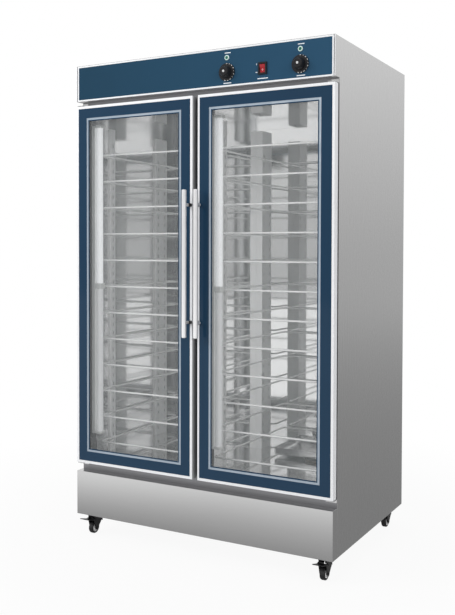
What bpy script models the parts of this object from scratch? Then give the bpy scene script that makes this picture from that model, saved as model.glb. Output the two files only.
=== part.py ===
"""Proofing cabinet with two glass doors, on four swivel casters.

Metres, +Z up. The front faces -Y. The origin is on the floor, below the middle of the whole
cabinet with its door handles. Each piece of the real cabinet is an object of its own.
"""
import math

import bmesh
import bpy
from mathutils import Vector

# Whole cabinet
body_width = 1.180
body_depth = 0.800
body_height = 1.905
caster_height = 0.090
wall_thickness = 0.040
sheet = 0.0012
gap = 0.0003
running_gap = 0.0005
overrun = 0.004

# Front view, from the top down
hood_height = 0.149
top_reveal = 0.021
bottom_reveal = 0.037
lower_panel_height = 0.185

# Doors
door_thickness = 0.031
door_gap = 0.022
trim_width = 0.0105
glass_thickness = 0.004
glass_recess = 0.0005
glass_space = 0.016
border_core_width = 0.050
rim_lip = 0.007
gasket_thickness = 0.011
gasket_width = 0.013
door_swing_clearance = 0.0005

# Door pivots and their brackets
pivot_inset = 0.016
pivot_depth = 0.0155
pin_diameter = 0.008
pin_length = 0.012
bracket_thickness = 0.003
bracket_width = 0.030
bracket_nose = 0.011
bracket_lift = 0.002
bracket_leg = 0.015
collar_diameter = 0.014

# Door handles
handle_length = 0.580
handle_middle_above_door_bottom = 0.854
bar_diameter = 0.019
bar_stand_off = 0.036
bar_inset = 0.0157
post_spacing = 0.462
post_diameter = 0.013
post_inset = 0.0072
spacer_diameter = 0.0142
spacer_length = 0.008

# Front frame round the openings
mullion_width = 0.084
frame_return = 0.040
sill_rise = 0.015
sill_skirt = 0.135
header_drop = 0.056

# Chamber
chamber_floor_height = 0.240
slab_thickness = 0.035
base_pan_height = 0.030
first_shelf_height = 0.057
top_shelf_space = 0.1644
shelf_levels = 12
rod_diameter = 0.008
rod_bend_radius = 0.025
weld_depth = 0.0005
shelf_front_space = 0.010
shelf_back_space = 0.020
wall_upright_depth = 0.010
center_upright_depth = 0.030
upright_top_space = 0.040
front_upright_setback = 0.130
front_upright_width = 0.030
rear_upright_back_space = 0.150
rear_upright_width = 0.090

# Chamber lamps
lamp_width = 0.030
lamp_batten_depth = 0.020
lamp_holder_length = 0.012
lamp_holder_reach = 0.030
lamp_tube_diameter = 0.026
lamp_floor_space = 0.100
lamp_joint_height = 0.735
lamp_ceiling_space = 0.040

# Heaters and water pan
element_diameter = 0.0085
element_leg = 0.300
element_bend_radius = 0.050
pan_side_space = 0.030
pan_width = 0.380
pan_depth = 0.280
pan_height = 0.032
element_back_space = 0.060

# Hood and its controls
fascia_thickness = 0.003
fascia_recess = 0.001
fascia_trim_width = 0.006
hood_edge_width = 0.003
hood_seam = 0.003
hood_flange = 0.012
rear_flange = 0.020
control_height = 0.055
left_knob_reach = 0.154
right_knob_reach = 0.155
knob_skirt_diameter = 0.068
knob_skirt_thickness = 0.0035
knob_dome_diameter = 0.042
knob_height = 0.029
spindle_diameter = 0.006
spindle_length = 0.016
spindle_hole_diameter = 0.009
thermostat_size = 0.044
thermostat_depth = 0.034
lamp_above_knob = 0.0555
lens_diameter = 0.012
lens_height = 0.004
lens_tail = 0.012
lens_ring_diameter = 0.020
lens_ring_height = 0.003
switch_inset = 0.2925
switch_width = 0.036
switch_height = 0.046
switch_flange = 0.005
switch_wall = 0.0015
switch_stand = 0.005
switch_box_depth = 0.018
rocker_clearance = 0.0012
rocker_stand = 0.004
rocker_depth = 0.012
rocker_pivot_depth = 0.002
rocker_pin_diameter = 0.003
rocker_tilt = math.radians(8)

# Mains inlet
inlet_inset = 0.150
inlet_drop = 0.075
inlet_width = 0.048
inlet_height = 0.030
inlet_flange = 0.006
inlet_flange_thickness = 0.003
inlet_depth = 0.028
socket_depth = 0.014
socket_wall = 0.006

# Casters
caster_inset = 0.052
front_caster_setback = 0.078
rear_caster_setback = 0.040
wheel_diameter = 0.050
wheel_width = 0.022
wheel_chamfer = 0.003
tyre_thickness = 0.0075
hub_recess = 0.0015
caster_trail = 0.030
axle_diameter = 0.008
axle_clearance = 0.0005
axle_head = 0.002
plate_size = 0.056
plate_thickness = 0.003
race_diameter = 0.042
race_height = 0.006
kingpin_diameter = 0.010
kingpin_head_diameter = 0.018
kingpin_head_height = 0.0025
fork_thickness = 0.003
fork_side_space = 0.003
fork_front_reach = 0.018
fork_rear_reach = 0.021
axle_boss = 0.009

# Brake pedals
pedal_pivot_drop = 0.028
pedal_pivot_reach = 0.041
pedal_pin_diameter = 0.005
pedal_pin_head = 0.0015
pedal_ear_thickness = 0.0025
pedal_ear_radius = 0.006
pedal_reach = 0.057
pedal_rise = 0.016
pedal_thickness = 0.003
pedal_start = 0.016

# Smoothness of round pieces
rod_sides = 6
tube_sides = 8
pin_sides = 12
wheel_sides = 16
knob_sides = 24
bend_steps = 6
rod_bend_steps = 2

# Places worked out from the sizes above
handle_reach = bar_stand_off + bar_diameter / 2
front = (handle_reach - body_depth) / 2
rear = front + body_depth
front_overhang = door_thickness + gasket_thickness
frame_face = front + front_overhang
half_width = body_width / 2
inner_half = half_width - wall_thickness
underside = caster_height
top = underside + body_height
hood_bottom = top - hood_height
door_top = hood_bottom - top_reveal
lower_panel_top = underside + lower_panel_height
door_bottom = lower_panel_top + bottom_reveal
door_width = (body_width - door_gap) / 2
chamber_floor = underside + chamber_floor_height
sill_top = chamber_floor + sill_rise
ceiling = hood_bottom - header_drop
chamber_back = rear - wall_thickness
liner_front = frame_face + frame_return + gap
gasket_inset = pivot_inset + door_swing_clearance
rim_width = gasket_inset + gasket_width + rim_lip
pivot_y = front + pivot_depth
rod_radius = rod_diameter / 2
front_rod_y = frame_face + frame_return + shelf_front_space
rear_rod_y = chamber_back - shelf_back_space
shelf_pitch = (ceiling - chamber_floor - first_shelf_height - top_shelf_space) / (shelf_levels - 1)
fascia_front = front + fascia_recess
control_z = hood_bottom + control_height
switch_x = half_width - switch_inset
left_knob_x = switch_x - left_knob_reach
right_knob_x = switch_x + right_knob_reach
axle_z = wheel_diameter / 2
fork_inner_half = wheel_width / 2 + fork_side_space
fork_outer_half = fork_inner_half + fork_thickness

# Finishes: colour, roughness, metallic
stainless = ((0.62, 0.63, 0.64), 0.32, 1.0)
mirror_steel = ((0.70, 0.71, 0.72), 0.15, 1.0)
pale_trim = ((0.90, 0.92, 0.93), 0.30, 0.4)
blue_paint = ((0.030, 0.070, 0.105), 0.30, 0.0)
blue_glass = ((0.026, 0.058, 0.090), 0.08, 0.0)
clear_glass = ((0.80, 0.85, 0.85), 0.05, 0.0)
black_plastic = ((0.012, 0.012, 0.013), 0.40, 0.0)
black_rubber = ((0.020, 0.020, 0.020), 0.75, 0.0)
black_steel = ((0.015, 0.015, 0.016), 0.45, 0.6)
bright_wire = ((0.78, 0.79, 0.80), 0.20, 1.0)
lamp_white = ((0.92, 0.93, 0.92), 0.35, 0.0)
red_plastic = ((0.55, 0.010, 0.030), 0.25, 0.0)
green_lens = ((0.010, 0.26, 0.15), 0.15, 0.0)
grey_foam = ((0.55, 0.53, 0.45), 0.90, 0.0)
ivory_plastic = ((0.72, 0.70, 0.62), 0.50, 0.0)

pivot_places = {}


def place(axis, along, first, second):
    """A point from its distance along an axis and its two places across it."""
    if axis == "X":
        return Vector((along, first, second))
    if axis == "Y":
        return Vector((first, along, second))
    return Vector((first, second, along))


def add_box(bm, low, high):
    """A closed box between two corners."""
    low = Vector(low)
    high = Vector(high)
    made = bmesh.ops.create_cube(bm, size=1)
    bmesh.ops.scale(bm, vec=high - low, verts=made["verts"])
    bmesh.ops.translate(bm, vec=(low + high) / 2, verts=made["verts"])


def join_loops(bm, loops, closed):
    """Faces between neighbouring loops of points; a loop of one point makes a fan."""
    faces = []
    pairs = list(zip(loops, loops[1:]))
    if closed:
        pairs.append((loops[-1], loops[0]))
    for lower, upper in pairs:
        count = max(len(lower), len(upper))
        for step in range(count):
            after = (step + 1) % count
            corners = [lower[step % len(lower)], lower[after % len(lower)]]
            corners += [upper[after % len(upper)], upper[step % len(upper)]]
            faces.append(bm.faces.new(list(dict.fromkeys(corners))))
    return faces


def add_prism(bm, outline, axis, start, end):
    """A straight bar whose outline lies across the axis."""
    loops = []
    for along in (start, end):
        loops.append([bm.verts.new(place(axis, along, a, b)) for a, b in outline])
    faces = join_loops(bm, loops, closed=False)
    faces += [bm.faces.new(loop) for loop in loops]
    bmesh.ops.recalc_face_normals(bm, faces=faces)


def add_frame(bm, low_x, high_x, low_z, high_z, section):
    """A mitred frame in the front view; its section lists (inset from the edge, place in depth)."""
    loops = []
    for inset, y in section:
        corners = [(low_x + inset, low_z + inset), (high_x - inset, low_z + inset)]
        corners += [(high_x - inset, high_z - inset), (low_x + inset, high_z - inset)]
        loops.append([bm.verts.new((x, y, z)) for x, z in corners])
    faces = join_loops(bm, loops, closed=True)
    bmesh.ops.recalc_face_normals(bm, faces=faces)


def add_tray(bm, low, high, wall, open_side):
    """An open box of even wall; open_side is the axis and the sign of its open side."""
    axis, sign = open_side
    inner_low = [value + wall for value in low]
    inner_high = [value - wall for value in high]
    index = "XYZ".index(axis)
    if sign > 0:
        inner_high[index] = high[index]
    else:
        inner_low[index] = low[index]
    mouth = high[index] if sign > 0 else low[index]
    bottom_outer = low[index] if sign > 0 else high[index]
    bottom_inner = inner_low[index] if sign > 0 else inner_high[index]
    across = [number for number in range(3) if number != index]

    def corners(lows, highs, along):
        first, second = across
        rows = [(lows[first], lows[second]), (highs[first], lows[second])]
        rows += [(highs[first], highs[second]), (lows[first], highs[second])]
        return [bm.verts.new(place(axis, along, a, b)) for a, b in rows]

    loops = [corners(low, high, bottom_outer), corners(low, high, mouth)]
    loops += [corners(inner_low, inner_high, mouth), corners(inner_low, inner_high, bottom_inner)]
    faces = join_loops(bm, loops, closed=False)
    faces += [bm.faces.new(loops[0]), bm.faces.new(loops[-1])]
    bmesh.ops.recalc_face_normals(bm, faces=faces)


def round_loop(bm, centre, axis, radius, sides):
    """A many-sided loop across an axis, with its flats at the radius."""
    corner_radius = radius / math.cos(math.pi / sides)
    loop = []
    for step in range(sides):
        angle = (2 * step + 1) * math.pi / sides
        offset = place(axis, 0, corner_radius * math.cos(angle), corner_radius * math.sin(angle))
        loop.append(bm.verts.new(Vector(centre) + offset))
    return loop


def add_turned(bm, profile, centre, axis, sides, hollow=False):
    """A profile of (place along the axis from the centre, radius), turned about the axis."""
    loops = []
    for along, radius in profile:
        middle = Vector(centre) + place(axis, along, 0, 0)
        if radius == 0:
            loops.append([bm.verts.new(middle)])
        else:
            loops.append(round_loop(bm, middle, axis, radius, sides))
    faces = join_loops(bm, loops, closed=hollow)
    bmesh.ops.recalc_face_normals(bm, faces=faces)


def add_stack(bm, stops, axis, sides):
    """A round solid through stops of (middle, radius), each square across an axis."""
    loops = [round_loop(bm, middle, axis, radius, sides) for middle, radius in stops]
    faces = join_loops(bm, loops, closed=False)
    faces += [bm.faces.new(loops[0]), bm.faces.new(loops[-1])]
    bmesh.ops.recalc_face_normals(bm, faces=faces)


def add_rod(bm, start, end, axis, radius, sides):
    """A round rod with its ends square across an axis."""
    add_stack(bm, [(start, radius), (end, radius)], axis, sides)


def add_level_tube(bm, points, radius, sides, closed=False):
    """A round tube along points that lie level, open at both ends or closed on itself."""
    loops = []
    corner_radius = radius / math.cos(math.pi / sides)
    count = len(points)
    for number, point in enumerate(points):
        if closed:
            before = Vector(points[number - 1])
            after = Vector(points[(number + 1) % count])
        else:
            before = Vector(points[max(number - 1, 0)])
            after = Vector(points[min(number + 1, count - 1)])
        inward = (Vector(point) - before).normalized()
        outward = (after - Vector(point)).normalized()
        along = (inward + outward).normalized()
        mitre = 1 / max(along.dot(outward), along.dot(inward))
        aside = along.cross(Vector((0, 0, 1))) * mitre
        loop = []
        for step in range(sides):
            angle = (2 * step + 1) * math.pi / sides
            rise = Vector((0, 0, corner_radius * math.sin(angle)))
            loop.append(bm.verts.new(Vector(point) + aside * corner_radius * math.cos(angle) + rise))
        loops.append(loop)
    faces = join_loops(bm, loops, closed=closed)
    if not closed:
        faces += [bm.faces.new(loops[0]), bm.faces.new(loops[-1])]
    bmesh.ops.recalc_face_normals(bm, faces=faces)


def paint(name, finish):
    """A plain material of one colour, roughness and metallic value."""
    colour, roughness, metallic = finish
    material = bpy.data.materials.new(name + "_finish")
    material.use_nodes = True
    shader = material.node_tree.nodes["Principled BSDF"]
    shader.inputs["Base Color"].default_value = (*colour, 1.0)
    shader.inputs["Roughness"].default_value = roughness
    shader.inputs["Metallic"].default_value = metallic
    return material


def make_pivot(name, spot, carrier=None):
    """An empty on a joint's axis, which carries the pieces that move about it."""
    empty = bpy.data.objects.new(name, None)
    bpy.context.scene.collection.objects.link(empty)
    pivot_places[name] = Vector(spot)
    empty.location = Vector(spot)
    if carrier:
        empty.parent = carrier
        empty.location = Vector(spot) - pivot_places[carrier.name]
    return empty


def set_down(name, bm, carrier):
    """Turn a finished mesh into an object with its origin on its carrier, or in its own middle."""
    if carrier:
        home = pivot_places[carrier.name]
    else:
        lows = [min(vert.co[axis] for vert in bm.verts) for axis in range(3)]
        highs = [max(vert.co[axis] for vert in bm.verts) for axis in range(3)]
        home = (Vector(lows) + Vector(highs)) / 2
    bmesh.ops.translate(bm, vec=-home, verts=bm.verts)
    mesh = bpy.data.meshes.new(name)
    bm.to_mesh(mesh)
    bm.free()
    thing = bpy.data.objects.new(name, mesh)
    bpy.context.scene.collection.objects.link(thing)
    if carrier:
        thing.parent = carrier
    else:
        thing.location = home
    return thing


def make(name, bm, finish, carrier=None, smooth=False):
    """A finished piece of the cabinet."""
    thing = set_down(name, bm, carrier)
    thing.data.materials.append(paint(name, finish))
    if smooth:
        thing.data.shade_smooth()
        thing.data.set_sharp_from_angle(angle=math.radians(40))
    return thing


def combine(thing, bm, operation):
    """Cut a hidden shape out of a piece, or weld it on."""
    guide = set_down(thing.name + "_" + operation.lower(), bm, thing.parent)
    guide.hide_render = True
    guide.display_type = "WIRE"
    step = thing.modifiers.new(operation.lower(), "BOOLEAN")
    step.operation = operation
    step.object = guide


def cut(thing, bm):
    combine(thing, bm, "DIFFERENCE")


def weld(thing, bm):
    combine(thing, bm, "UNION")


def from_left(distance):
    """The place of something that is measured from the cabinet's left side."""
    return distance - half_width


def ordered(first, second):
    return min(first, second), max(first, second)


def make_outer_panels():
    skin_half = half_width - sheet - gap
    for name, side in (("left_side_panel", -1), ("right_side_panel", 1)):
        outline = [(frame_face, underside), (rear, underside), (rear, top), (front, top)]
        outline += [(front, hood_bottom), (frame_face, hood_bottom)]
        bm = bmesh.new()
        add_prism(bm, outline, "X", *ordered(side * half_width, side * (half_width - sheet)))
        panel = make(name, bm, stainless)
        fold_top = top - sheet - gap
        fold = [(front, hood_bottom), (frame_face, hood_bottom), (frame_face, hood_bottom + sheet)]
        fold += [(front + sheet, hood_bottom + sheet), (front + sheet, fold_top), (front, fold_top)]
        near, far = ordered(side * half_width, side * (half_width - hood_edge_width))
        bm = bmesh.new()
        add_prism(bm, fold, "X", near, far)
        weld(panel, bm)
    bm = bmesh.new()
    back_low = (-skin_half, rear - sheet, underside)
    back_high = (skin_half, rear, top - sheet - gap)
    add_box(bm, back_low, back_high)
    back_panel = make("back_panel", bm, stainless)
    bm = bmesh.new()
    inlet_x = from_left(inlet_inset)
    inlet_z = top - inlet_drop
    hole_half = inlet_width / 2 + gap
    hole_rise = inlet_height / 2 + gap
    hole_low = (inlet_x - hole_half, rear - sheet - overrun, inlet_z - hole_rise)
    hole_high = (inlet_x + hole_half, rear + overrun, inlet_z + hole_rise)
    add_box(bm, hole_low, hole_high)
    cut(back_panel, bm)
    flange_front = front + fascia_recess + fascia_thickness + gap
    flange_rear = rear - sheet - gap
    under = top - sheet
    outline = [(front, top), (rear, top), (rear, under), (flange_rear, under)]
    outline += [(flange_rear, top - rear_flange), (flange_rear - sheet, top - rear_flange)]
    outline += [(flange_rear - sheet, under), (flange_front + sheet, under)]
    outline += [(flange_front + sheet, top - hood_flange), (flange_front, top - hood_flange)]
    outline += [(flange_front, under), (front, under)]
    bm = bmesh.new()
    add_prism(bm, outline, "X", -skin_half, skin_half)
    make("top_panel", bm, stainless)
    bm = bmesh.new()
    pan_low = (-skin_half, frame_face, underside)
    pan_high = (skin_half, rear - sheet - gap, underside + base_pan_height)
    add_tray(bm, pan_low, pan_high, sheet, ("Z", 1))
    make("base_pan", bm, stainless)
    bm = bmesh.new()
    tray_low = (-half_width, front, underside)
    tray_high = (half_width, frame_face - gap, lower_panel_top)
    add_tray(bm, tray_low, tray_high, sheet, ("Y", 1))
    make("lower_front_panel", bm, stainless)


def make_liners():
    for name, side in (("left_wall_liner", -1), ("right_wall_liner", 1)):
        near, far = ordered(side * inner_half, side * (inner_half + sheet))
        bm = bmesh.new()
        low = (near, liner_front, chamber_floor - gap - sheet)
        add_box(bm, low, (far, chamber_back + sheet, ceiling))
        make(name, bm, mirror_steel)
    flat_half = inner_half - gap
    bm = bmesh.new()
    add_box(bm, (-flat_half, chamber_back, chamber_floor), (flat_half, chamber_back + sheet, ceiling))
    make("back_wall_liner", bm, mirror_steel)
    bm = bmesh.new()
    low = (-inner_half - sheet, liner_front, ceiling + gap)
    high = (inner_half + sheet, chamber_back + sheet, ceiling + gap + sheet)
    add_box(bm, low, high)
    make("ceiling_liner", bm, mirror_steel)
    floor_top = chamber_floor - gap
    floor_under = floor_top - sheet
    outline = [(liner_front, floor_under), (chamber_back + sheet, floor_under)]
    outline += [(chamber_back + sheet, floor_top), (liner_front + sheet, floor_top)]
    outline += [(liner_front + sheet, sill_top), (liner_front, sill_top)]
    bm = bmesh.new()
    add_prism(bm, outline, "X", -flat_half, flat_half)
    make("chamber_floor", bm, mirror_steel)


def make_insulation():
    """One foamed box, open at the front, between the skins and the liners."""
    outer_half = half_width - sheet - gap
    low = (-outer_half, liner_front, chamber_floor - slab_thickness)
    bm = bmesh.new()
    add_box(bm, low, (outer_half, rear - sheet - gap, hood_bottom - gap))
    foam = make("insulation_foam", bm, grey_foam)
    hollow_half = inner_half + sheet + gap
    bm = bmesh.new()
    low = (-hollow_half, liner_front - overrun, chamber_floor - sheet - 2 * gap)
    high = (hollow_half, chamber_back + sheet + gap, ceiling + sheet + 2 * gap)
    add_box(bm, low, high)
    cut(foam, bm)


def make_front_frame():
    """The welded frame that the gaskets close on: a face with two openings and their returns."""
    face_half = half_width - sheet - gap
    face_low = chamber_floor - sill_skirt
    bm = bmesh.new()
    low = (-face_half, frame_face, face_low)
    add_box(bm, low, (face_half, frame_face + sheet, hood_bottom - gap))
    frame = make("front_frame", bm, stainless)
    returns = bmesh.new()
    openings = bmesh.new()
    return_rear = frame_face + frame_return
    for side in (-1, 1):
        near, far = ordered(side * mullion_width / 2, side * inner_half)
        low = (near - sheet, frame_face + sheet / 2, sill_top - sheet)
        add_box(returns, low, (far + sheet, return_rear, ceiling + sheet))
        low = (near, frame_face - overrun, sill_top)
        add_box(openings, low, (far, return_rear + overrun, ceiling))
    weld(frame, returns)
    cut(frame, openings)


def shelf_heights():
    """Heights of the middles of the shelf rods."""
    lowest = chamber_floor + first_shelf_height
    return [lowest + level * shelf_pitch for level in range(shelf_levels)]


def shelf_outline(near, far, height):
    """Points of one wire shelf, a rounded rectangle bent from rod."""
    points = []
    corners = [(far, rear_rod_y, 0), (near, rear_rod_y, 1)]
    corners += [(near, front_rod_y, 2), (far, front_rod_y, 3)]
    for x, y, quarter in corners:
        middle_x = x + rod_bend_radius * (1 if quarter in (1, 2) else -1)
        middle_y = y + rod_bend_radius * (1 if quarter in (2, 3) else -1)
        for step in range(rod_bend_steps + 1):
            angle = (quarter + step / rod_bend_steps) * math.pi / 2
            point_x = middle_x + rod_bend_radius * math.cos(angle)
            points.append((point_x, middle_y + rod_bend_radius * math.sin(angle), height))
    return points


def make_shelf_racks():
    """In each bay, four slotted uprights with the wire shelves fixed to them."""
    head = ceiling - upright_top_space
    front_start = frame_face + front_upright_setback
    rear_end = chamber_back - rear_upright_back_space
    runs = [(front_start, front_start + front_upright_width)]
    runs += [(rear_end - rear_upright_width, rear_end)]
    wall_face = inner_half - wall_upright_depth
    seats = [(inner_half - gap, wall_face, -1), (gap, center_upright_depth, 1)]
    wall_rod = wall_face - rod_radius + weld_depth
    center_rod = center_upright_depth + rod_radius - weld_depth
    for name, side in (("left_shelf_rack", -1), ("right_shelf_rack", 1)):
        near, far = ordered(side * wall_rod, side * center_rod)
        bm = bmesh.new()
        for height in shelf_heights():
            add_level_tube(bm, shelf_outline(near, far, height), rod_radius, rod_sides, closed=True)
        rack = make(name, bm, bright_wire, smooth=True)
        uprights = bmesh.new()
        for base, face, out in seats:
            skin = face - out * sheet
            for near_y, far_y in runs:
                outline = [(base, near_y), (face, near_y), (face, far_y), (base, far_y)]
                outline += [(base, far_y - sheet), (skin, far_y - sheet)]
                outline += [(skin, near_y + sheet), (base, near_y + sheet)]
                outline = [(side * x, y) for x, y in outline]
                add_prism(uprights, outline, "Z", chamber_floor, head)
        weld(rack, uprights)


def make_chamber_lamps():
    """Upright lamps of two tubes in a line, one on the left jamb and one on the mullion."""
    low_z = chamber_floor + lamp_floor_space
    high_z = ceiling - lamp_ceiling_space
    joint_low = chamber_floor + lamp_joint_height - lamp_holder_length
    joint_high = chamber_floor + lamp_joint_height + lamp_holder_length
    near_y = frame_face + (frame_return - lamp_width) / 2
    far_y = near_y + lamp_width
    middle_y = (near_y + far_y) / 2
    lower = low_z + lamp_holder_length
    upper = high_z - lamp_holder_length
    seats = (("left_chamber_lamp", gap - inner_half), ("right_chamber_lamp", mullion_width / 2 + gap))
    for name, seat in seats:
        crest = seat + lamp_batten_depth
        nose = crest + lamp_holder_reach
        outline = [(seat, low_z), (nose, low_z), (nose, lower), (crest, lower)]
        outline += [(crest, joint_low), (nose, joint_low), (nose, joint_high), (crest, joint_high)]
        outline += [(crest, upper), (nose, upper), (nose, high_z), (seat, high_z)]
        bm = bmesh.new()
        add_prism(bm, outline, "Y", near_y, far_y)
        lamp = make(name, bm, lamp_white)
        middle_x = crest + lamp_holder_reach / 2
        start = (middle_x, middle_y, lower - lamp_holder_length / 2)
        end = (middle_x, middle_y, upper + lamp_holder_length / 2)
        bm = bmesh.new()
        add_rod(bm, start, end, "Z", lamp_tube_diameter / 2, pin_sides)
        weld(lamp, bm)


def element_loop(middle_x, rest_z):
    """Points of a level hairpin that opens to the back wall."""
    back = chamber_back - gap
    turn_y = back - element_back_space - element_leg
    points = [(middle_x - element_bend_radius, back, rest_z)]
    for step in range(bend_steps + 1):
        angle = math.pi * step / bend_steps
        across = -element_bend_radius * math.cos(angle)
        points.append((middle_x + across, turn_y - element_bend_radius * math.sin(angle), rest_z))
    points.append((middle_x + element_bend_radius, back, rest_z))
    return points


def make_heater():
    """A tubular element on the chamber floor, with the humidity pan standing on it."""
    element_radius = element_diameter / 2
    middle_x = inner_half - pan_side_space - pan_width / 2
    bm = bmesh.new()
    points = element_loop(middle_x, chamber_floor + element_radius)
    add_level_tube(bm, points, element_radius, tube_sides)
    make("heating_element", bm, black_steel, smooth=True)
    pan_low = chamber_floor + element_diameter + gap
    back = chamber_back - element_back_space
    bm = bmesh.new()
    low = (middle_x - pan_width / 2, back - pan_depth, pan_low)
    high = (middle_x + pan_width / 2, back, pan_low + pan_height)
    add_tray(bm, low, high, sheet, ("Z", 1))
    make("water_pan", bm, stainless)


def make_hood():
    floor_half = half_width - hood_edge_width - gap
    flange_front = front + fascia_recess + fascia_thickness + gap
    floor_top = hood_bottom + sheet
    outline = [(flange_front, hood_bottom), (rear - sheet - gap, hood_bottom)]
    outline += [(rear - sheet - gap, floor_top), (flange_front + sheet, floor_top)]
    outline += [(flange_front + sheet, hood_bottom + hood_flange)]
    outline += [(flange_front, hood_bottom + hood_flange)]
    bm = bmesh.new()
    add_prism(bm, outline, "X", -floor_half, floor_half)
    make("hood_floor", bm, stainless)

    trim_half = half_width - hood_edge_width - hood_seam
    trim_low = hood_bottom + gap
    trim_high = top - sheet - gap
    back = fascia_front + fascia_thickness
    section = [(0, front), (fascia_trim_width, front), (fascia_trim_width, back), (0, back)]
    bm = bmesh.new()
    add_frame(bm, -trim_half, trim_half, trim_low, trim_high, section)
    make("control_panel_trim", bm, pale_trim)

    inset = fascia_trim_width + gap
    bm = bmesh.new()
    low = (-trim_half + inset, fascia_front, trim_low + inset)
    add_box(bm, low, (trim_half - inset, back, trim_high - inset))
    panel = make("control_panel", bm, blue_paint)
    holes = bmesh.new()
    front_cut = fascia_front - overrun
    rear_cut = back + overrun
    lamp_z = control_z + lamp_above_knob
    for x in (left_knob_x, right_knob_x):
        start = (x, front_cut, control_z)
        add_rod(holes, start, (x, rear_cut, control_z), "Y", spindle_hole_diameter / 2, pin_sides)
        start = (x, front_cut, lamp_z)
        hole_radius = lens_diameter / 2 + gap
        add_rod(holes, start, (x, rear_cut, lamp_z), "Y", hole_radius, pin_sides)
    half_hole = switch_width / 2 - switch_flange + gap
    half_rise = switch_height / 2 - switch_flange + gap
    low = (switch_x - half_hole, front_cut, control_z - half_rise)
    add_box(holes, low, (switch_x + half_hole, rear_cut, control_z + half_rise))
    cut(panel, holes)


def make_indicators():
    """Indicator lamps: a domed lens in a pale ring, with its body behind the panel."""
    lens_radius = lens_diameter / 2
    ring_radius = lens_ring_diameter / 2
    crown_share = 0.6
    bevel_share = 0.4
    profile = [(-lens_height, 0), (-lens_height, lens_radius * crown_share)]
    profile += [(-lens_ring_height, lens_radius)]
    profile += [(-lens_ring_height, ring_radius - lens_ring_height * bevel_share)]
    profile += [(-lens_ring_height * bevel_share, ring_radius), (-gap, ring_radius)]
    profile += [(-gap, lens_radius), (lens_tail, lens_radius), (lens_tail, 0)]
    for name, x in (("left_indicator_lamp", left_knob_x), ("right_indicator_lamp", right_knob_x)):
        bm = bmesh.new()
        centre = (x, fascia_front, control_z + lamp_above_knob)
        add_turned(bm, profile, centre, "Y", pin_sides)
        make(name, bm, green_lens, smooth=True)


def make_knobs():
    """Each knob turns on a spindle that runs through the panel into its thermostat."""
    skirt_radius = knob_skirt_diameter / 2
    dome_radius = knob_dome_diameter / 2
    skirt_back = -running_gap
    skirt_front = skirt_back - knob_skirt_thickness
    crown = -knob_height
    spindle_radius = spindle_diameter / 2
    neck_share = 1.10
    shoulder_share = 0.92
    crown_share = 0.70
    shoulder_height_share = 0.80
    profile = [(spindle_length, 0), (spindle_length, spindle_radius), (skirt_back, spindle_radius)]
    profile += [(skirt_back, skirt_radius), (skirt_front, skirt_radius)]
    profile += [(skirt_front - knob_skirt_thickness, dome_radius * neck_share)]
    profile += [(crown * shoulder_height_share, dome_radius * shoulder_share)]
    profile += [(crown, dome_radius * crown_share), (crown, 0)]
    back = fascia_front + fascia_thickness + gap
    half_box = thermostat_size / 2
    for side_name, x in (("left", left_knob_x), ("right", right_knob_x)):
        centre = (x, fascia_front, control_z)
        axis = make_pivot(side_name + "_knob_axis", centre)
        bm = bmesh.new()
        add_turned(bm, profile, centre, "Y", knob_sides)
        make(side_name + "_knob", bm, black_plastic, carrier=axis, smooth=True)
        bm = bmesh.new()
        low = (x - half_box, back, control_z - half_box)
        add_box(bm, low, (x + half_box, back + thermostat_depth, control_z + half_box))
        thermostat = make(side_name + "_thermostat", bm, ivory_plastic)
        bm = bmesh.new()
        start = (x, back - overrun, control_z)
        end = (x, fascia_front + spindle_length + running_gap, control_z)
        add_rod(bm, start, end, "Y", spindle_radius + running_gap, pin_sides)
        cut(thermostat, bm)


def make_switch():
    x = switch_x
    half_w = switch_width / 2
    half_h = switch_height / 2
    bezel_front = fascia_front - switch_stand
    bezel_back = fascia_front + switch_box_depth
    seat = fascia_front - gap
    bore = switch_flange + switch_wall
    section = [(0, bezel_front), (bore, bezel_front), (bore, bezel_back), (switch_flange, bezel_back)]
    section += [(switch_flange, seat), (0, seat)]
    bm = bmesh.new()
    add_frame(bm, x - half_w, x + half_w, control_z - half_h, control_z + half_h, section)
    bezel = make("switch_bezel", bm, black_plastic)
    pivot_place_y = fascia_front + rocker_pivot_depth
    inner_half_w = half_w - bore
    pin_radius = rocker_pin_diameter / 2
    outer_end = inner_half_w + switch_wall
    bm = bmesh.new()
    start = (x - outer_end - overrun, pivot_place_y, control_z)
    end = (x + outer_end + overrun, pivot_place_y, control_z)
    add_rod(bm, start, end, "X", pin_radius + gap, tube_sides)
    cut(bezel, bm)

    axis = make_pivot("rocker_axis", (x, pivot_place_y, control_z))
    half_rock = half_h - bore - rocker_clearance
    ends_out = rocker_stand + rocker_pivot_depth
    dish_share = 0.55
    tail_share = 0.55
    shape = [(-ends_out, half_rock), (-ends_out * dish_share, 0), (-ends_out, -half_rock)]
    shape += [(0, -half_rock), (rocker_depth, -half_rock * tail_share)]
    shape += [(rocker_depth, half_rock * tail_share), (0, half_rock)]
    turned = []
    for y, z in shape:
        turned_y = y * math.cos(rocker_tilt) - z * math.sin(rocker_tilt)
        turned_z = y * math.sin(rocker_tilt) + z * math.cos(rocker_tilt)
        turned.append((pivot_place_y + turned_y, control_z + turned_z))
    half_rocker = inner_half_w - running_gap
    bm = bmesh.new()
    add_prism(bm, turned, "X", x - half_rocker, x + half_rocker)
    rocker = make("power_rocker", bm, red_plastic, carrier=axis)
    bm = bmesh.new()
    start = (x - outer_end + running_gap, pivot_place_y, control_z)
    end = (x + outer_end - running_gap, pivot_place_y, control_z)
    add_rod(bm, start, end, "X", pin_radius, tube_sides)
    weld(rocker, bm)


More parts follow.
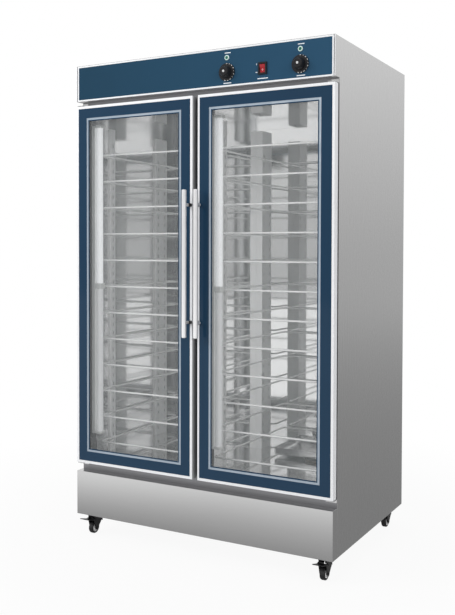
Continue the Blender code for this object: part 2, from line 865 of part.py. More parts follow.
def make_inlet():
    x = from_left(inlet_inset)
    z = top - inlet_drop
    half_w = inlet_width / 2
    half_h = inlet_height / 2
    bm = bmesh.new()
    add_box(bm, (x - half_w, rear - inlet_depth, z - half_h), (x + half_w, rear, z + half_h))
    inlet = make("cord_inlet", bm, black_plastic)
    bm = bmesh.new()
    flange_back = rear - sheet - gap
    wide = half_w + inlet_flange
    tall = half_h + inlet_flange
    low = (x - wide, flange_back - inlet_flange_thickness, z - tall)
    add_box(bm, low, (x + wide, flange_back, z + tall))
    weld(inlet, bm)
    bm = bmesh.new()
    half_socket = half_w - socket_wall
    low = (x - half_socket, rear - socket_depth, z - half_h + socket_wall)
    add_box(bm, low, (x + half_socket, rear + overrun, z + half_h - socket_wall))
    cut(inlet, bm)


def make_hinge_brackets():
    """Bent plates in the reveals above and below the doors, each with a collar and a pivot pin."""
    pin_radius = pin_diameter / 2
    collar_radius = collar_diameter / 2
    leg_back = frame_face - gap
    leg_front = leg_back - bracket_thickness
    nose = pivot_y - bracket_nose
    for level_name, door_edge, out in (("top", door_top, 1), ("bottom", door_bottom, -1)):
        near = door_edge + out * bracket_lift
        far = near + out * bracket_thickness
        leg = near + out * bracket_leg
        outline = [(nose, near), (leg_back, near), (leg_back, leg), (leg_front, leg)]
        outline += [(leg_front, far), (nose, far)]
        root = out * (bracket_lift + bracket_thickness / 2)
        profile = [(root, 0), (root, collar_radius), (out * gap, collar_radius)]
        profile += [(out * gap, pin_radius), (-out * pin_length, pin_radius), (-out * pin_length, 0)]
        for side_name, side in (("left", -1), ("right", 1)):
            x = side * (half_width - pivot_inset)
            bm = bmesh.new()
            add_prism(bm, outline, "X", x - bracket_width / 2, x + bracket_width / 2)
            bracket = make(level_name + "_" + side_name + "_hinge_bracket", bm, stainless)
            bm = bmesh.new()
            add_turned(bm, profile, (x, pivot_y, door_edge), "Z", pin_sides)
            weld(bracket, bm)


def make_door(side_name, side):
    outer_x = side * half_width
    free_x = side * (half_width - door_width)
    low_x, high_x = ordered(outer_x, free_x)
    axis_x = side * (half_width - pivot_inset)
    axis = make_pivot(side_name + "_door_axis", (axis_x, pivot_y, door_bottom))
    glass_front = front + glass_recess
    seat = glass_front + glass_thickness + gap
    core_back = seat + glass_space
    door_back = front + door_thickness
    section = [(0, front), (trim_width, front), (trim_width, seat), (border_core_width, seat)]
    section += [(border_core_width, core_back), (rim_width, core_back), (rim_width, door_back)]
    section += [(0, door_back)]
    bm = bmesh.new()
    add_frame(bm, low_x, high_x, door_bottom, door_top, section)
    frame = make(side_name + "_door_frame", bm, pale_trim, carrier=axis)
    bores = bmesh.new()
    bore_radius = pin_diameter / 2 + running_gap
    depth = pin_length + running_gap
    for door_edge, out in ((door_top, 1), (door_bottom, -1)):
        start, end = ordered(door_edge + out * overrun, door_edge - out * depth)
        add_rod(bores, (axis_x, pivot_y, start), (axis_x, pivot_y, end), "Z", bore_radius, pin_sides)
    cut(frame, bores)

    inset = trim_width + gap
    bm = bmesh.new()
    low = (low_x + inset, glass_front, door_bottom + inset)
    high = (high_x - inset, glass_front + glass_thickness, door_top - inset)
    add_box(bm, low, high)
    make(side_name + "_outer_glass", bm, blue_glass, carrier=axis)

    inset = rim_width + gap
    inner_front = core_back + gap
    bm = bmesh.new()
    low = (low_x + inset, inner_front, door_bottom + inset)
    high = (high_x - inset, inner_front + glass_thickness, door_top - inset)
    add_box(bm, low, high)
    make(side_name + "_inner_glass", bm, clear_glass, carrier=axis)

    gasket_front = door_back + gap
    gasket_back = frame_face - gap
    inner = gasket_inset + gasket_width
    section = [(gasket_inset, gasket_front), (inner, gasket_front), (inner, gasket_back)]
    section += [(gasket_inset, gasket_back)]
    bm = bmesh.new()
    add_frame(bm, low_x, high_x, door_bottom, door_top, section)
    make(side_name + "_door_gasket", bm, black_rubber, carrier=axis)

    bar_x = free_x + side * bar_inset
    post_x = free_x + side * post_inset
    middle_z = door_bottom + handle_middle_above_door_bottom
    bar_y = front - bar_stand_off
    bm = bmesh.new()
    low = middle_z - handle_length / 2
    high = middle_z + handle_length / 2
    add_rod(bm, (bar_x, bar_y, low), (bar_x, bar_y, high), "Z", bar_diameter / 2, pin_sides)
    handle = make(side_name + "_door_handle", bm, stainless, carrier=axis, smooth=True)
    posts = bmesh.new()
    seat_y = front - gap
    collar_y = seat_y - spacer_length
    for step in (-1, 1):
        z = middle_z + step * post_spacing / 2
        stops = [((post_x, seat_y, z), spacer_diameter / 2)]
        stops += [((post_x, collar_y, z), spacer_diameter / 2)]
        stops += [((post_x, collar_y, z), post_diameter / 2), ((bar_x, bar_y, z), post_diameter / 2)]
        add_stack(posts, stops, "Y", pin_sides)
    weld(handle, posts)


def make_caster_plate(name, x, y):
    """The fixed half of a caster: its plate, swivel race and kingpin with its head."""
    plate_top = underside - gap
    plate_low = plate_top - plate_thickness
    race_low = plate_low - race_height
    fork_low = race_low - gap - fork_thickness
    head_top = fork_low - gap
    pin_radius = kingpin_diameter / 2
    head_radius = kingpin_head_diameter / 2
    plate_middle = (plate_top + plate_low) / 2
    profile = [(plate_middle, 0), (plate_middle, race_diameter / 2), (race_low, race_diameter / 2)]
    profile += [(race_low, pin_radius), (head_top, pin_radius), (head_top, head_radius)]
    profile += [(head_top - kingpin_head_height, head_radius), (head_top - kingpin_head_height, 0)]
    half_plate = plate_size / 2
    bm = bmesh.new()
    add_box(bm, (x - half_plate, y - half_plate, plate_low), (x + half_plate, y + half_plate, plate_top))
    plate = make(name + "_caster_plate", bm, black_steel)
    bm = bmesh.new()
    add_turned(bm, profile, (x, y, 0), "Z", pin_sides)
    weld(plate, bm)
    return fork_low


def make_caster(name, x, y, fork_low, with_pedal):
    swivel = make_pivot(name + "_swivel_axis", (x, y, axle_z))
    axle_y = y - caster_trail
    fork_high = fork_low + fork_thickness
    front_edge = axle_y - fork_front_reach
    rear_edge = y + fork_rear_reach
    low_corner = axle_z - axle_boss
    lug_low = underside - pedal_pivot_drop - pedal_ear_radius
    chin_share = 0.5
    chin = axle_boss * chin_share
    outline = [(rear_edge, fork_high), (front_edge, fork_high), (front_edge, lug_low)]
    outline += [(axle_y - axle_boss, axle_z), (axle_y - chin, low_corner)]
    outline += [(axle_y + chin, low_corner), (axle_y + axle_boss, axle_z)]
    outline += [(rear_edge, fork_low - fork_thickness)]
    bm = bmesh.new()
    add_prism(bm, outline, "X", x - fork_outer_half, x + fork_outer_half)
    fork = make(name + "_fork", bm, black_steel, carrier=swivel)
    bm = bmesh.new()
    low = (x - fork_inner_half, front_edge - overrun, low_corner - overrun)
    add_box(bm, low, (x + fork_inner_half, rear_edge + overrun, fork_low))
    cut(fork, bm)
    bm = bmesh.new()
    start = (x, y, fork_low - overrun)
    hole_radius = kingpin_diameter / 2 + running_gap
    add_rod(bm, start, (x, y, fork_high + overrun), "Z", hole_radius, pin_sides)
    cut(fork, bm)
    if with_pedal:
        pedal_y = y - pedal_pivot_reach
        pedal_z = underside - pedal_pivot_drop
        bm = bmesh.new()
        reach = fork_outer_half + overrun
        start = (x - reach, pedal_y, pedal_z)
        hole_radius = pedal_pin_diameter / 2 + running_gap
        add_rod(bm, start, (x + reach, pedal_y, pedal_z), "X", hole_radius, pin_sides)
        cut(fork, bm)
        make_pedal(name, swivel, x, pedal_y, pedal_z)
    bm = bmesh.new()
    end = fork_outer_half + axle_head
    start = (x - end, axle_y, axle_z)
    add_rod(bm, start, (x + end, axle_y, axle_z), "X", axle_diameter / 2, pin_sides)
    weld(fork, bm)

    axle = make_pivot(name + "_axle_axis", (x, axle_y, axle_z), carrier=swivel)
    half_wheel = wheel_width / 2
    bore = axle_diameter / 2 + axle_clearance
    hub = wheel_diameter / 2 - tyre_thickness
    rim = wheel_diameter / 2
    edge = rim - wheel_chamfer
    flat = half_wheel - wheel_chamfer
    hub_half = half_wheel - hub_recess
    profile = [(-hub_half, bore), (-hub_half, hub), (-half_wheel, hub), (-half_wheel, edge)]
    profile += [(-flat, rim), (flat, rim), (half_wheel, edge), (half_wheel, hub)]
    profile += [(hub_half, hub), (hub_half, bore)]
    bm = bmesh.new()
    add_turned(bm, profile, (x, axle_y, axle_z), "X", wheel_sides, hollow=True)
    make(name + "_wheel", bm, black_rubber, carrier=axle, smooth=True)


def make_pedal(name, swivel, x, pedal_y, pedal_z):
    axis = make_pivot(name + "_pedal_axis", (x, pedal_y, pedal_z), carrier=swivel)
    tip_y = pedal_y - pedal_reach
    tip_z = pedal_z + pedal_rise
    slope = pedal_rise / pedal_reach
    heel_y = pedal_y - pedal_start
    heel_z = pedal_z + slope * pedal_start
    ear_in = fork_outer_half + running_gap
    ear_out = ear_in + pedal_ear_thickness
    chin_share = 0.5
    chin = pedal_ear_radius * chin_share
    ear_back = pedal_y + pedal_ear_radius
    outline = [(tip_y, tip_z), (heel_y, heel_z), (pedal_y, pedal_z + pedal_ear_radius)]
    outline += [(ear_back, pedal_z + chin), (ear_back, pedal_z - chin)]
    outline += [(pedal_y, pedal_z - pedal_ear_radius), (heel_y, heel_z - pedal_thickness)]
    outline += [(tip_y, tip_z - pedal_thickness)]
    bm = bmesh.new()
    add_prism(bm, outline, "X", x - ear_out, x + ear_out)
    pedal = make(name + "_pedal", bm, black_steel, carrier=axis)
    bm = bmesh.new()
    reach = pedal_ear_radius + overrun
    low = (x - ear_in, heel_y + pedal_thickness, pedal_z - reach)
    add_box(bm, low, (x + ear_in, pedal_y + reach, pedal_z + reach))
    cut(pedal, bm)
    bm = bmesh.new()
    pin_end = ear_out + pedal_pin_head
    start = (x - pin_end, pedal_y, pedal_z)
    add_rod(bm, start, (x + pin_end, pedal_y, pedal_z), "X", pedal_pin_diameter / 2, pin_sides)
    weld(pedal, bm)


def make_casters():
    caster_x = half_width - caster_inset
    front_y = front + front_caster_setback
    rear_y = rear - rear_caster_setback
    spots = {"front_left": (-caster_x, front_y), "front_right": (caster_x, front_y)}
    spots.update({"rear_left": (-caster_x, rear_y), "rear_right": (caster_x, rear_y)})
    for name, (x, y) in spots.items():
        fork_low = make_caster_plate(name, x, y)
        make_caster(name, x, y, fork_low, with_pedal=name.startswith("front"))


for leftover in list(bpy.data.objects):
    bpy.data.objects.remove(leftover)

make_outer_panels()
make_liners()
make_insulation()
make_front_frame()
make_shelf_racks()
make_chamber_lamps()
make_heater()
make_hood()
make_indicators()
make_knobs()
make_switch()
make_inlet()
make_hinge_brackets()
make_door("left", -1)
make_door("right", 1)
make_casters()
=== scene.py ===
"""The looks of a proofing cabinet with two glass doors, put together piece by piece."""
import math

import bpy
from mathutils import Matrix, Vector


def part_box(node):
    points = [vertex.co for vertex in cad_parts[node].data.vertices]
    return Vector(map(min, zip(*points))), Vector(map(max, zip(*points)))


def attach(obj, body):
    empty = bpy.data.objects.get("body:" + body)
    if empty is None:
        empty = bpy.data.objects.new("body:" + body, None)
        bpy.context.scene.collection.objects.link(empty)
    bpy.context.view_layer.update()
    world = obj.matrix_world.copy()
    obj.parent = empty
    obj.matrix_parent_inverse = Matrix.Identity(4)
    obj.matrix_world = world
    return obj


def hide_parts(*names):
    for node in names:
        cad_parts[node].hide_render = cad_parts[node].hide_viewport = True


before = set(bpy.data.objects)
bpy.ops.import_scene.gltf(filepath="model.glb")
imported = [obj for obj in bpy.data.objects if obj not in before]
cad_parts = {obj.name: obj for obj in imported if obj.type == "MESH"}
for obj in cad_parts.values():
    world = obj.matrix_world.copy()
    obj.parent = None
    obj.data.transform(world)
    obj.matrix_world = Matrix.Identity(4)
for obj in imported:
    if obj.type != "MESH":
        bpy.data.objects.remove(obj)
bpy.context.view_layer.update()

# Studio: the cabinet stands on a pale floor in a white room, lit from above and both sides.
# The camera is at chest height to its front right, as for the photograph.
scene = bpy.context.scene
scene.view_settings.view_transform = "Standard"
camera_place = (1.7415, -3.1696, 1.2214)
camera_turn = (math.radians(88.676), math.radians(-0.173), math.radians(28.275))
bpy.ops.object.camera_add(location=camera_place, rotation=camera_turn)
camera = bpy.context.object
camera.data.lens = 48.938
camera.data.shift_x = -0.03392
camera.data.shift_y = -0.06224
scene.camera = camera


class Shade:
    """An output of a shader node, so that sums on it become Math nodes."""

    def __init__(self, shader, output):
        self.shader = shader
        self.output = output

    def maths(self, operation, first, second):
        return self.shader.node("Math", {"operation": operation}, {0: first, 1: second})

    def __add__(self, other):
        return self.maths("ADD", self, other)

    def __sub__(self, other):
        return self.maths("SUBTRACT", self, other)

    def __rsub__(self, other):
        return self.maths("SUBTRACT", other, self)

    def __mul__(self, other):
        return self.maths("MULTIPLY", self, other)

    def __truediv__(self, other):
        return self.maths("DIVIDE", self, other)

    def __gt__(self, other):
        return self.maths("GREATER_THAN", self, other)

    def __lt__(self, other):
        return self.maths("LESS_THAN", self, other)

    def __abs__(self):
        return self.shader.node("Math", {"operation": "ABSOLUTE"}, {0: self})

    def least(self, other):
        return self.maths("MINIMUM", self, other)

    __radd__ = __add__
    __rmul__ = __mul__


class Shader:
    """The nodes of a material or of the world, all added in one way."""

    def __init__(self, owner):
        owner.use_nodes = True
        self.owner = owner
        self.tree = owner.node_tree

    def plug(self, socket, value):
        if isinstance(value, Shade):
            self.tree.links.new(value.output, socket)
        else:
            socket.default_value = value

    def node(self, kind, settings=None, sockets=None, output=0):
        made = self.tree.nodes.new("ShaderNode" + kind)
        for setting, value in (settings or {}).items():
            setattr(made, setting, value)
        for socket, value in (sockets or {}).items():
            self.plug(made.inputs[socket], value)
        return Shade(self, made.outputs[output])

    def finish(self, **sockets):
        """Set the sockets of the material's Principled BSDF, such as Base_Color."""
        surface = self.tree.nodes["Principled BSDF"]
        for socket, value in sockets.items():
            self.plug(surface.inputs[socket.replace("_", " ")], value)

    def position(self):
        return self.node("TexCoord", output="Object")

    def axes(self):
        """The three coordinates of a place on the piece."""
        place = self.node("SeparateXYZ", sockets={0: self.position()})
        return [Shade(self, place.output.node.outputs[number]) for number in range(3)]

    def noise(self, scales, detail=2.0, roughness=0.5):
        """Cloudy noise from 0 to 1, with its own scale along each axis."""
        place = self.node("Mapping", sockets={"Vector": self.position(), "Scale": scales})
        sockets = {"Vector": place, "Scale": 1.0, "Detail": detail, "Roughness": roughness}
        return self.node("TexNoise", sockets=sockets)

    def clamp(self, value):
        return self.node("Clamp", sockets={0: value})

    def blend(self, factor, first, second):
        """Two colours mixed by a factor."""
        sockets = {0: factor, 6: (*first, 1.0) if isinstance(first, tuple) else first}
        sockets[7] = (*second, 1.0) if isinstance(second, tuple) else second
        return self.node("Mix", {"data_type": "RGBA"}, sockets, output=2)

    def tone(self, colour, amount):
        """A colour made lighter or darker by an amount that varies."""
        sockets = {0: colour, "Scale": amount}
        return self.node("VectorMath", {"operation": "SCALE"}, sockets)

    def bump(self, height, distance):
        sockets = {"Height": height, "Distance": distance, "Strength": 1.0}
        return self.node("Bump", sockets=sockets)

    def ray_kinds(self):
        """1 on rays from the camera, and 1 on rays that metal or glass sends on."""
        kinds = self.node("LightPath").output.node.outputs
        sent_on = Shade(self, kinds["Is Glossy Ray"]) + Shade(self, kinds["Is Transmission Ray"])
        return Shade(self, kinds["Is Camera Ray"]), self.clamp(sent_on)


room = Shader(bpy.data.worlds.new("room"))
scene.world = room.owner
seen, mirrored = room.ray_kinds()
height = room.node("SeparateXYZ", sockets={0: room.node("TexCoord", output="Generated")}, output=2)
low_tone, high_tone, rise, room_light = 0.54, 1.0, 3.3, 0.52
mirrored_tone = low_tone + (high_tone - low_tone) * room.clamp(height * rise)
lit_tone = room_light * (1 - mirrored) + mirrored_tone * mirrored
backdrop = room.tree.nodes["Background"]
room.plug(backdrop.inputs["Color"], (1.0, 1.0, 1.0, 1.0))
room.plug(backdrop.inputs["Strength"], seen + lit_tone * (1 - seen))

floor_size, floor_drop = 30, 0.0004
bpy.ops.mesh.primitive_plane_add(size=floor_size, location=(0, 0, -floor_drop))
floor = bpy.context.object
floor.name = "studio_floor"
pale = Shader(bpy.data.materials.new("pale_floor"))
x, y = pale.axes()[:2]
seen, mirrored = pale.ray_kinds()
distance = pale.node("VectorMath", {"operation": "LENGTH"}, {0: pale.position()}, output="Value")
pale.finish(Base_Color=(0.62, 0.62, 0.62, 1.0), Roughness=0.9)
# What the metal mirrors is painted on the floor: painted shade under the cabinet, and painted light far out,
# in front and to the left.
front_edge, front_reach, left_edge, left_reach, far_reach = -0.42, 0.86, -0.2, 0.93, 14
under_tone, far_gain, left_gain, brightest = 0.27, 0.28, 0.40, 1.1
in_front = pale.clamp((front_edge - y) / front_reach)
steep = in_front * in_front * in_front * in_front
front_tone = (0.60 - 0.25 * in_front) * in_front + 0.45 * steep
leftward = 1 + left_gain * pale.clamp((left_edge - x) / left_reach) * in_front
mirrored_floor = (under_tone + far_gain * pale.clamp(distance / far_reach) + front_tone) * leftward
strength = seen + mirrored * mirrored_floor.least(brightest)
shadow_edge, shadow_reach, shadow_share = 0.9, 1.2, 0.07
outside = pale.clamp((distance - shadow_edge) / shadow_reach)
glow_share = seen * (1 - shadow_share + shadow_share * outside) + mirrored
white = pale.node("Emission", sockets={"Color": (1.0, 1.0, 1.0, 1.0), "Strength": strength})
lit_floor = Shade(pale, pale.tree.nodes["Principled BSDF"].outputs[0])
mixed = pale.node("MixShader", sockets={0: glow_share, 1: lit_floor, 2: white})
pale.plug(pale.tree.nodes["Material Output"].inputs["Surface"], mixed)
floor.data.materials.append(pale.owner)

soft_boxes = (((-2.9, -3.3, 3.2), 2.4, 120.0), ((3.4, -2.2, 2.6), 1.8, 34.0), ((0.2, 0.3, 4.6), 2.6, 60.0))
cabinet_middle = Vector((0, 0, 1.0))
for place, size, power in soft_boxes:
    aim = (cabinet_middle - Vector(place)).to_track_quat("-Z", "Y").to_euler()
    bpy.ops.object.light_add(type="AREA", location=place, rotation=aim)
    lamp = bpy.context.object
    lamp.visible_glossy = False
    lamp.data.size = size
    lamp.data.energy = power

# Outer shell: sides, back, top, base pan and lower front panel, folded from 1.2 mm stainless
# sheet with a fine brushed grain. The folds are soft, and the side panels' front folds get a painted
# highlight.


def select_only(*pieces):
    bpy.ops.object.select_all(action="DESELECT")
    for piece in pieces:
        piece.select_set(True)
    bpy.context.view_layer.objects.active = pieces[0]


def copy_of(node, name):
    """A node's shape again, its loose triangles joined into whole faces."""
    piece = bpy.data.objects.new(name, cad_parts[node].data.copy())
    bpy.context.scene.collection.objects.link(piece)
    piece.data.materials.clear()
    select_only(piece)
    bpy.ops.object.mode_set(mode="EDIT")
    bpy.ops.mesh.select_all(action="SELECT")
    bpy.ops.mesh.remove_doubles(threshold=0.00001)
    bpy.ops.mesh.dissolve_limited(angle_limit=math.radians(1))
    bpy.ops.object.mode_set(mode="OBJECT")
    return piece


def use(piece, kind, **settings):
    """Add a modifier to a piece and apply it."""
    select_only(piece)
    step = piece.modifiers.new(kind.lower(), kind)
    for setting, value in settings.items():
        setattr(step, setting, value)
    bpy.ops.object.modifier_apply(modifier=step.name)


def round_edges(piece, width, segments=2):
    """Break the sharp edges, and shade the flats flat and the rounds smooth."""
    select_only(piece)
    bpy.ops.object.shade_smooth()
    use(piece, "BEVEL", width=width, segments=segments, limit_method="ANGLE",
        angle_limit=math.radians(35), use_clamp_overlap=True)
    use(piece, "WEIGHTED_NORMAL", mode="FACE_AREA", weight=100, keep_sharp=False)


def fit(piece, body, material, slot, *nodes):
    """Lay a finished piece at the origin, and give it its material, body and nodes."""
    select_only(piece)
    bpy.ops.object.transform_apply(location=True, rotation=True, scale=True)
    piece.data.materials.clear()
    piece.data.materials.append(material)
    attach(piece, body)
    if nodes:
        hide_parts(*nodes)


def brushed_steel(name, along, colour=(0.62, 0.62, 0.62), roughness=0.27, highlight_edge_y=None):
    """Sheet steel with a fine grain along one axis, and a painted highlight where it folds at the front."""
    steel = Shader(bpy.data.materials.new(name))
    across_grain, along_grain, grain_depth = 700.0, 4.0, 0.0000018
    scales = [across_grain] * 3
    scales["XYZ".index(along)] = along_grain
    grain = steel.noise(tuple(scales), detail=3.0)
    cloud = steel.noise((1.7, 1.7, 1.7), detail=3.0)
    skin = steel.tone(colour, 0.965 + 0.05 * grain + 0.02 * cloud)
    gloss = roughness - 0.03 + 0.04 * grain + 0.02 * cloud
    steel.finish(Base_Color=skin, Metallic=1.0, Roughness=gloss, Normal=steel.bump(grain, grain_depth))
    if highlight_edge_y is not None:
        # Painted highlight: the front fold is painted pale and made less metallic, so it looks lit.
        painted_highlight = steel.axes()[1] < highlight_edge_y
        steel.finish(Base_Color=steel.blend(painted_highlight, skin, (0.93, 0.93, 0.95)), Metallic=1 - 0.85 * painted_highlight)
    return steel.owner


highlight_depth = 0.0013
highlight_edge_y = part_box("right_side_panel")[0][1] + highlight_depth
side_steel = brushed_steel("brushed_side_steel", "Z", highlight_edge_y=highlight_edge_y)
upright_steel = brushed_steel("brushed_steel_upright", "Z")
level_steel = brushed_steel("brushed_steel_level", "X", roughness=0.22)
shell_sheets = {"left_side_panel": side_steel, "right_side_panel": side_steel}
shell_sheets.update({"back_panel": upright_steel, "top_panel": level_steel, "base_pan": level_steel})
shell_sheets.update({"lower_front_panel": level_steel, "hood_floor": level_steel})
for node, steel in shell_sheets.items():
    sheet = copy_of(node, node + "_sheet")
    round_edges(sheet, 0.0005)
    fit(sheet, "cabinet", steel, "stainless", node)

# Chamber liners: walls, back, ceiling and floor of thin stainless sheet, polished nearly to a
# mirror, and pressed against the foam. Their shapes are plain sheets, so they keep their nodes.


def polished_steel(name, colour=(0.80, 0.80, 0.80), roughness=0.06):
    """Sheet steel polished until it mirrors, with slow waves left by the foaming behind it."""
    steel = Shader(bpy.data.materials.new(name))
    haze = steel.noise((2.3, 2.3, 1.1), detail=2.0)
    wave = steel.noise((3.0, 3.0, 0.8), detail=0.0)
    steel.finish(Base_Color=steel.tone(colour, 0.94 + 0.12 * haze), Metallic=1.0,
                 Roughness=roughness - 0.02 + 0.05 * haze, Normal=steel.bump(wave, 0.0006))
    return steel.owner


def dress(node, material):
    """Give a CAD piece that keeps its shape its real finish."""
    for material_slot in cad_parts[node].material_slots:
        material_slot.material = material


mirror_steel = polished_steel("polished_steel")
for node in ("left_wall_liner", "right_wall_liner", "back_wall_liner", "ceiling_liner", "chamber_floor"):
    dress(node, mirror_steel)

# Front frame: one welded piece of stainless sheet round the two openings, with returns that
# run into the chamber. The gaskets close on its face, and its edges are folded and soft.
# Painted shade: the frame's steel is given a dark colour, for the shade in the recesses round the doors.
shaded_frame_steel = brushed_steel("dark_shaded_frame_steel", "Z", colour=(0.24, 0.24, 0.25), roughness=0.32)
frame_piece = copy_of("front_frame", "front_frame_sheet")
round_edges(frame_piece, 0.0004)
fit(frame_piece, "cabinet", shaded_frame_steel, "stainless", "front_frame")

# Insulation: rigid foam blown between the skins and the liners, hidden all round.
# It is pale yellow-grey, with small closed cells.
foam = Shader(bpy.data.materials.new("rigid_foam"))
cells = foam.node("TexVoronoi", sockets={"Vector": foam.position(), "Scale": 900.0})
foam.finish(Base_Color=foam.tone((0.55, 0.50, 0.34), 0.75 + 0.5 * cells), Roughness=0.92,
            Normal=foam.bump(cells, 0.0006))
dress("insulation_foam", foam.owner)

# Shelf racks: twelve levels of bright 8 mm rod, each bent into a rounded loop and spot-welded
# to four upright channels, which are folded from pale sheet and have rows of hook slots.


def box(name, low, high):
    """A box between two corners, ready to be shaped."""
    bpy.ops.object.select_all(action="DESELECT")
    middle = [(near + far) / 2 for near, far in zip(low, high)]
    bpy.ops.mesh.primitive_cube_add(size=1, location=middle)
    made = bpy.context.object
    made.name = name
    made.scale = [far - near for near, far in zip(low, high)]
    bpy.ops.object.transform_apply(location=True, rotation=True, scale=True)
    return made


def join(name, pieces):
    """Several objects made one piece."""
    select_only(*pieces)
    bpy.ops.object.join()
    pieces[0].name = name
    return pieces[0]


def select_faces(piece, chosen):
    """In edit mode, select only the faces whose normal and middle fit."""
    bpy.ops.mesh.select_all(action="DESELECT")
    bpy.ops.mesh.select_mode(type="FACE")
    bpy.ops.object.mode_set(mode="OBJECT")
    for face in piece.data.polygons:
        face.select = chosen(face.normal, face.center)
    bpy.ops.object.mode_set(mode="EDIT")


def bent_rod(name, low, high, height, bend, thickness, open_side=False):
    """A level loop of round rod with bent corners; a hairpin has its far side open."""
    bpy.ops.object.select_all(action="DESELECT")
    middle = ((low[0] + high[0]) / 2, (low[1] + high[1]) / 2, height)
    bpy.ops.mesh.primitive_plane_add(size=1, location=middle)
    rod = bpy.context.object
    rod.name = name
    rod.scale = (high[0] - low[0], high[1] - low[1], 1)
    bpy.ops.object.transform_apply(location=True, rotation=True, scale=True)
    for corner in rod.data.vertices:
        corner.select = not open_side or corner.co.y < middle[1]
    bpy.ops.object.mode_set(mode="EDIT")
    bpy.ops.mesh.select_mode(type="VERT")
    bpy.ops.mesh.bevel(affect="VERTICES", offset=bend, segments=8)
    bpy.ops.mesh.select_all(action="SELECT")
    bpy.ops.mesh.delete(type="ONLY_FACE")
    bpy.ops.object.mode_set(mode="OBJECT")
    if open_side:
        for edge in rod.data.edges:
            ends = [rod.data.vertices[number].co.y for number in edge.vertices]
            edge.select = min(ends) > high[1] - 0.001
        bpy.ops.object.mode_set(mode="EDIT")
        bpy.ops.mesh.select_mode(type="EDGE")
        bpy.ops.mesh.delete(type="EDGE_FACE")
        bpy.ops.object.mode_set(mode="OBJECT")
    bpy.ops.object.convert(target="CURVE")
    rod.data.bevel_depth = thickness / 2
    rod.data.bevel_resolution = 4
    rod.data.use_fill_caps = True
    bpy.ops.object.convert(target="MESH")
    bpy.ops.object.shade_smooth()
    return rod


def bright_metal(name, colour, roughness, metallic):
    """Bright plated metal: paler than bare steel, with a fine drawn texture."""
    plating = Shader(bpy.data.materials.new(name))
    drawn = plating.noise((60.0, 60.0, 60.0), detail=3.0)
    plating.finish(Base_Color=plating.tone(colour, 0.96 + 0.06 * drawn), Metallic=metallic,
                   Roughness=roughness + 0.08 * drawn)
    return plating.owner


bright_wire = bright_metal("bright_drawn_wire", (0.97, 0.97, 0.97), 0.20, 0.35)
pale_sheet = bright_metal("pale_upright_sheet", (0.97, 0.97, 0.97), 0.30, 0.10)
rack_low, rack_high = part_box("left_shelf_rack")
rod_thickness, rod_bend = 0.008, 0.025
rod_low_x, rod_high_x = 0.0335, 0.5365
rod_front_y, rod_rear_y = rack_low[1] + rod_thickness / 2, rack_high[1] - rod_thickness / 2
levels, first_level, level_pitch = 12, 0.387, 0.1126
upright_foot, upright_head = rack_low[2], rack_high[2]
sheet_thickness = 0.0012
slot_pitch, first_slot_share = level_pitch / 3, 0.9
slot_half_depth, slot_half_width, slot_half_height = 0.004, 0.003, 0.008
one_row_width = 0.05
front_run = (rod_front_y + 0.080, rod_front_y + 0.110)
rear_run = (rod_rear_y - 0.220, rod_rear_y - 0.130)
outer_wall_seat, middle_wall_seat = (0.5497, 0.540), (0.0003, 0.030)


def rack_upright(side, base, face, near_y, far_y):
    """One channel: a box without its back and ends, given its wall, its slots and its folds."""
    low_x, high_x = sorted((side * base, side * face))
    channel = box("channel", (low_x, near_y, upright_foot), (high_x, far_y, upright_head))
    out = 1 if face > base else -1
    bpy.ops.object.mode_set(mode="EDIT")
    select_faces(channel, lambda normal, middle: abs(normal.z) > 0.5 or normal.x * side * out < -0.5)
    bpy.ops.mesh.delete(type="FACE")
    bpy.ops.mesh.select_all(action="SELECT")
    bpy.ops.mesh.normals_make_consistent(inside=False)
    bpy.ops.object.mode_set(mode="OBJECT")
    # An open channel's faces may point either way, and its wall always grows inwards.
    facing = [wall.normal.x * side * out for wall in channel.data.polygons]
    inwards = -1 if max(facing, key=abs) > 0 else 1
    use(channel, "SOLIDIFY", thickness=sheet_thickness, offset=inwards, use_even_offset=True)
    width = far_y - near_y
    rows = (near_y + width / 2,) if width < one_row_width else (near_y + width / 5, far_y - width / 5)
    slots = []
    steps = int((upright_head - upright_foot) / slot_pitch) - 1
    for row in rows:
        for step in range(steps):
            z = upright_foot + slot_pitch * (step + first_slot_share)
            near = (side * face - slot_half_depth, row - slot_half_width, z - slot_half_height)
            far = (side * face + slot_half_depth, row + slot_half_width, z + slot_half_height)
            slots.append(box("slot", near, far))
    cutter = join("slots", slots)
    use(channel, "BOOLEAN", operation="DIFFERENCE", object=cutter, solver="EXACT")
    bpy.data.objects.remove(cutter)
    round_edges(channel, 0.0003, segments=1)
    return channel


for side_name, side in (("left", -1), ("right", 1)):
    loops = []
    for level in range(levels):
        low_x, high_x = sorted((side * rod_low_x, side * rod_high_x))
        height = first_level + level * level_pitch
        low, high = (low_x, rod_front_y), (high_x, rod_rear_y)
        loops.append(bent_rod("rod", low, high, height, rod_bend, rod_thickness))
    rods = join(side_name + "_shelf_rods", loops)
    fit(rods, "cabinet", bright_wire, "bright_wire", side_name + "_shelf_rack")
    channels = []
    for base, face in (outer_wall_seat, middle_wall_seat):
        for near_y, far_y in (front_run, rear_run):
            channels.append(rack_upright(side, base, face, near_y, far_y))
    uprights = join(side_name + "_rack_uprights", channels)
    fit(uprights, "cabinet", pale_sheet, "bright_wire", side_name + "_shelf_rack")

# Chamber lamps: in each bay, two moisture-proof tubes in a line on a white batten, which is
# screwed to the jamb or the mullion. Their push-on holders are moulded in white plastic.


def tube(name, start, end, radius, sides=32):
    """A round bar between two points."""
    bpy.ops.object.select_all(action="DESELECT")
    start, end = Vector(start), Vector(end)
    turn = (end - start).to_track_quat("Z", "Y").to_euler()
    bpy.ops.mesh.primitive_cylinder_add(vertices=sides, radius=radius, depth=(end - start).length,
                                        location=(start + end) / 2, rotation=turn)
    made = bpy.context.object
    made.name = name
    bpy.ops.object.transform_apply(location=True, rotation=True, scale=True)
    return made


